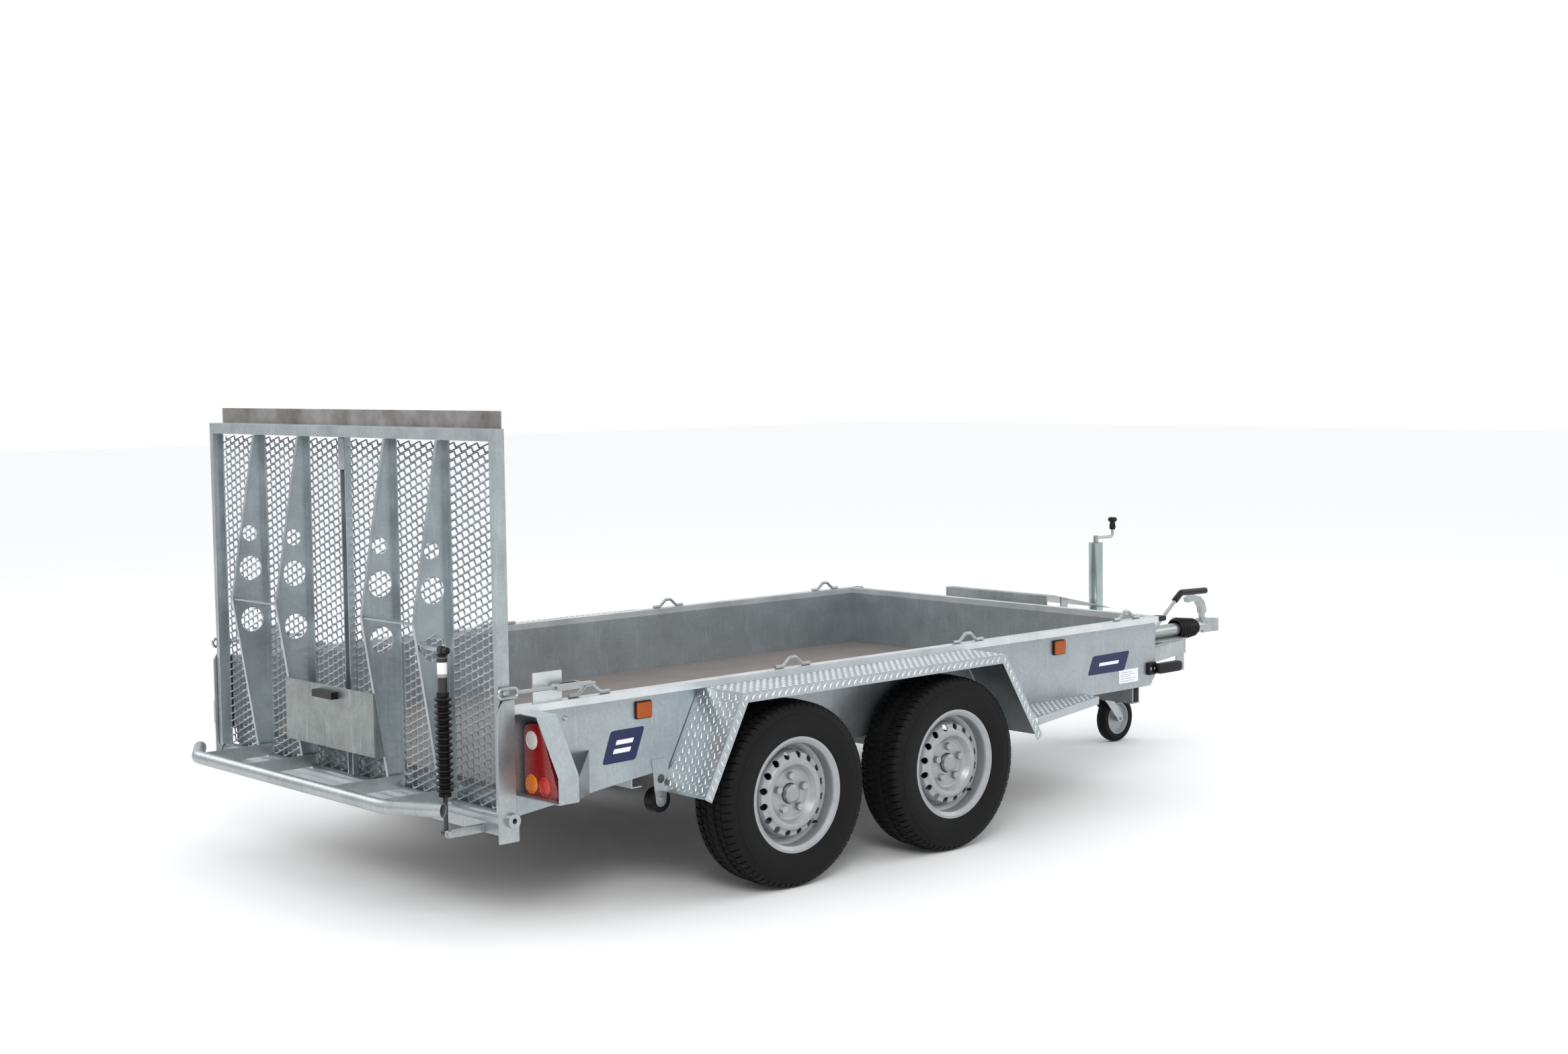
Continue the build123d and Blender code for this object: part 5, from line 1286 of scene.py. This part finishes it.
@dataclass(frozen=True)
class SmallFittings:
    """Screws, bolts and the clip at the top of the centre upright."""

    floor_top: float = 430.0
    screw_rows: tuple = (60.0, 462.0, 972.0, 1482.0, 1992.0, 2432.0, 2900.0)
    screw_out: tuple = (-740.0, -370.0, 0.0, 370.0, 740.0)

    def dome(self, centre: Point, axis: Point, radius: float, height: float,
             sides: int = 24) -> tuple[list, list]:
        """Button head on a face."""
        outline = [(0.05, height), (radius * 0.5, height * 0.88), (radius * 0.85, height * 0.5),
                   (radius, 0.0), (0.05, 0.0)]
        return turned(outline, centre, axis, sides)

    def hexagon(self, centre: Point, axis: Point, flats: float, height: float) -> tuple[list, list]:
        """Hexagon head on a washer."""
        corner = flats / math.sqrt(3)
        outline = [(corner * 0.6, height), (corner * 0.86, height - 0.3), (corner, height - 1.4),
                   (corner, 1.6), (0.05, 1.6), (0.05, height)]
        washer = [(0.05, 1.6), (corner * 1.3, 1.6), (corner * 1.3, 0.0), (0.05, 0.0)]
        head, head_faces = turned(outline, centre, axis, 6)
        base, base_faces = turned(washer, centre, axis, 24)
        count = len(head)
        return head + base, head_faces + [tuple(i + count for i in f) for f in base_faces]

    def make(self) -> None:
        """Builds the screws and bolts."""
        screws = []
        for x in self.screw_rows:
            for y in self.screw_out:
                vertices, faces = self.dome((D.x(x), y, self.floor_top), (0, 0, 1), 7.0, 1.4)
                screws.append(add_mesh("screw", vertices, faces, F.plated, 40.0))
        put(joined("floor_screws", screws), "chassis")
        bolts = []
        for side in Side:
            for x, z, out, axis in ((205.0, 605.0, D.panel, 1), (205.0, 450.0, D.panel, 1)):
                vertices, faces = self.hexagon((D.x(x), mirrored(out, side), z),
                                               (0, side.value * axis, 0), 13.0, 7.0)
                bolts.append(add_mesh("bolt", vertices, faces, F.plated, 30.0))
            for x in (2950.0, 2974.0):
                vertices, faces = self.hexagon((D.x(x), mirrored(815.4, side), 464.0),
                                               (0, side.value, 0), 8.0, 4.0)
                bolts.append(add_mesh("bolt", vertices, faces, F.plated, 30.0))
        put(joined("panel_bolts", bolts), "chassis")
        clip = rounded_outline([(-17.0, 1322.0), (17.0, 1322.0), (17.0, 1421.0), (-17.0, 1421.0)],
                               3.0)
        put(bevelled_plate("upright_clip", [(D.x(-37.0), y, z) for y, z in clip], (-3.5, 0, 0),
                           0.8, F.plated, 2), "ramp")


@dataclass(frozen=True)
class Overrun:
    """Pleated sleeve between the overrun housing and the coupling head."""

    sleeve: Bellows = Bellows("overrun_pleated_sleeve", (4172.0, 0.0, 433.0), (1, 0, 0), 146.0,
                              54.5, 40.0, 0.76, 6, 9.0)

    def make(self) -> None:
        """Builds the sleeve and stands it for the imported one."""
        sleeve = self.sleeve.make()
        put(sleeve, "chassis", ("overrun_bellows",))
        D.x(4172.0) * MM
        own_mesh(sleeve)


# ------------------------------------------------------------------ studio
@dataclass(frozen=True)
class Studio:
    """Pale floor, soft lights and the camera."""

    lens: float = 48.66
    place: tuple = (-5.558, -5.7746, 1.616)
    right: tuple = (0.73746, -0.67528, -0.01225)
    up: tuple = (0.05918, 0.04654, 0.99716)
    forward: tuple = (0.67279, 0.73609, -0.07428)
    sensor: float = 36.0           # width of the film gate in millimetres
    far: float = 200.0             # far limit of the view in metres
    floor_half: float = 40.0       # half side of the floor in metres
    floor_tone: tuple = (0.92, 0.92, 0.92, 1.0)
    low_sky: tuple = (0.58, 0.59, 0.60, 1.0)
    high_sky: tuple = (1.15, 1.16, 1.17, 1.0)

    def camera(self) -> None:
        """Camera behind the right rear corner, a little above the rails."""
        data = bpy.data.cameras.new("camera")
        data.lens = self.lens
        data.sensor_width = self.sensor
        data.sensor_fit = "HORIZONTAL"
        data.clip_end = self.far
        made = bpy.data.objects.new("camera", data)
        bpy.context.scene.collection.objects.link(made)
        turn = Matrix((self.right, self.up, tuple(-c for c in self.forward))).transposed()
        made.matrix_world = Matrix.Translation(self.place) @ turn.to_4x4()
        bpy.context.scene.camera = made

    def light(self, name: str, place: Point, aim: Point, size: float, power: float,
              colour: tuple = (1.0, 1.0, 1.0)) -> None:
        """Soft square light."""
        data = bpy.data.lights.new(name, "AREA")
        data.shape = "SQUARE"
        data.size = size
        data.energy = power
        data.color = colour
        made = bpy.data.objects.new(name, data)
        bpy.context.scene.collection.objects.link(made)
        made.location = place
        made.rotation_euler = (Vector(aim) - Vector(place)).to_track_quat("-Z", "Y").to_euler()

    def make(self) -> None:
        """Builds floor, lights, world and camera."""
        half = self.floor_half
        mesh = bpy.data.meshes.new("studio_floor")
        mesh.from_pydata([(-half, -half, 0), (half, -half, 0), (half, half, 0), (-half, half, 0)],
                         [], [(0, 1, 2, 3)])
        paint = bpy.data.materials.new("studio_floor_paint")
        paint.use_nodes = True
        shader = paint.node_tree.nodes["Principled BSDF"]
        shader.inputs["Base Color"].default_value = self.floor_tone
        shader.inputs["Roughness"].default_value = 0.95
        mesh.materials.append(paint)
        floor = bpy.data.objects.new("studio_floor", mesh)
        bpy.context.scene.collection.objects.link(floor)
        world = bpy.data.worlds.new("studio")
        world.use_nodes = True
        bpy.context.scene.world = world
        tree = world.node_tree
        background = tree.nodes["Background"]
        where = add_node(tree, "ShaderNodeTexCoord")
        split = add_node(tree, "ShaderNodeSeparateXYZ", links={0: where.outputs["Generated"]})
        sky = ramp(tree, split.outputs["Z"], self.low_sky, self.high_sky, 0.05, 0.75)
        path = add_node(tree, "ShaderNodeLightPath")
        seen = add_node(tree, "ShaderNodeMix", {"data_type": "RGBA"},
                        {0: path.outputs["Is Camera Ray"], 6: sky})
        seen.inputs[7].default_value = (1.0, 1.0, 1.0, 1.0)
        tree.links.new(seen.outputs[2], background.inputs["Color"])
        background.inputs["Strength"].default_value = 1.0
        self.light("key", (-5.5, -6.0, 5.5), (0, 0, 0.5), 3.0, 250.0)
        self.light("left_rim", (-3.0, 7.0, 5.0), (0, 0, 0.5), 4.0, 110.0)
        self.light("front_fill", (7.0, -4.0, 4.0), (0.5, 0, 0.5), 4.0, 80.0)
        bpy.context.scene.view_settings.view_transform = "Standard"
        self.camera()


def main() -> None:
    """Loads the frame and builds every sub-assembly in order."""
    global D
    logging.basicConfig(level=logging.INFO, format="%(name)s: %(message)s")
    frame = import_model()
    D = Datum.read()
    Dressing().dress(frame["nodes"])
    GuardShell().make(frame["nodes"]["mudguards_and_steps"])
    for assembly in (ExpandedMetal(), Mudguards(), RoadWheels(), JockeyTyre(), Strut(),
                     TailLamps(), SideLamps(), SidePlates(), SmallFittings(), Overrun(), Studio()):
        LOG.info("building %s", type(assembly).__name__)
        assembly.make()


if __name__ == "__main__":
    main()
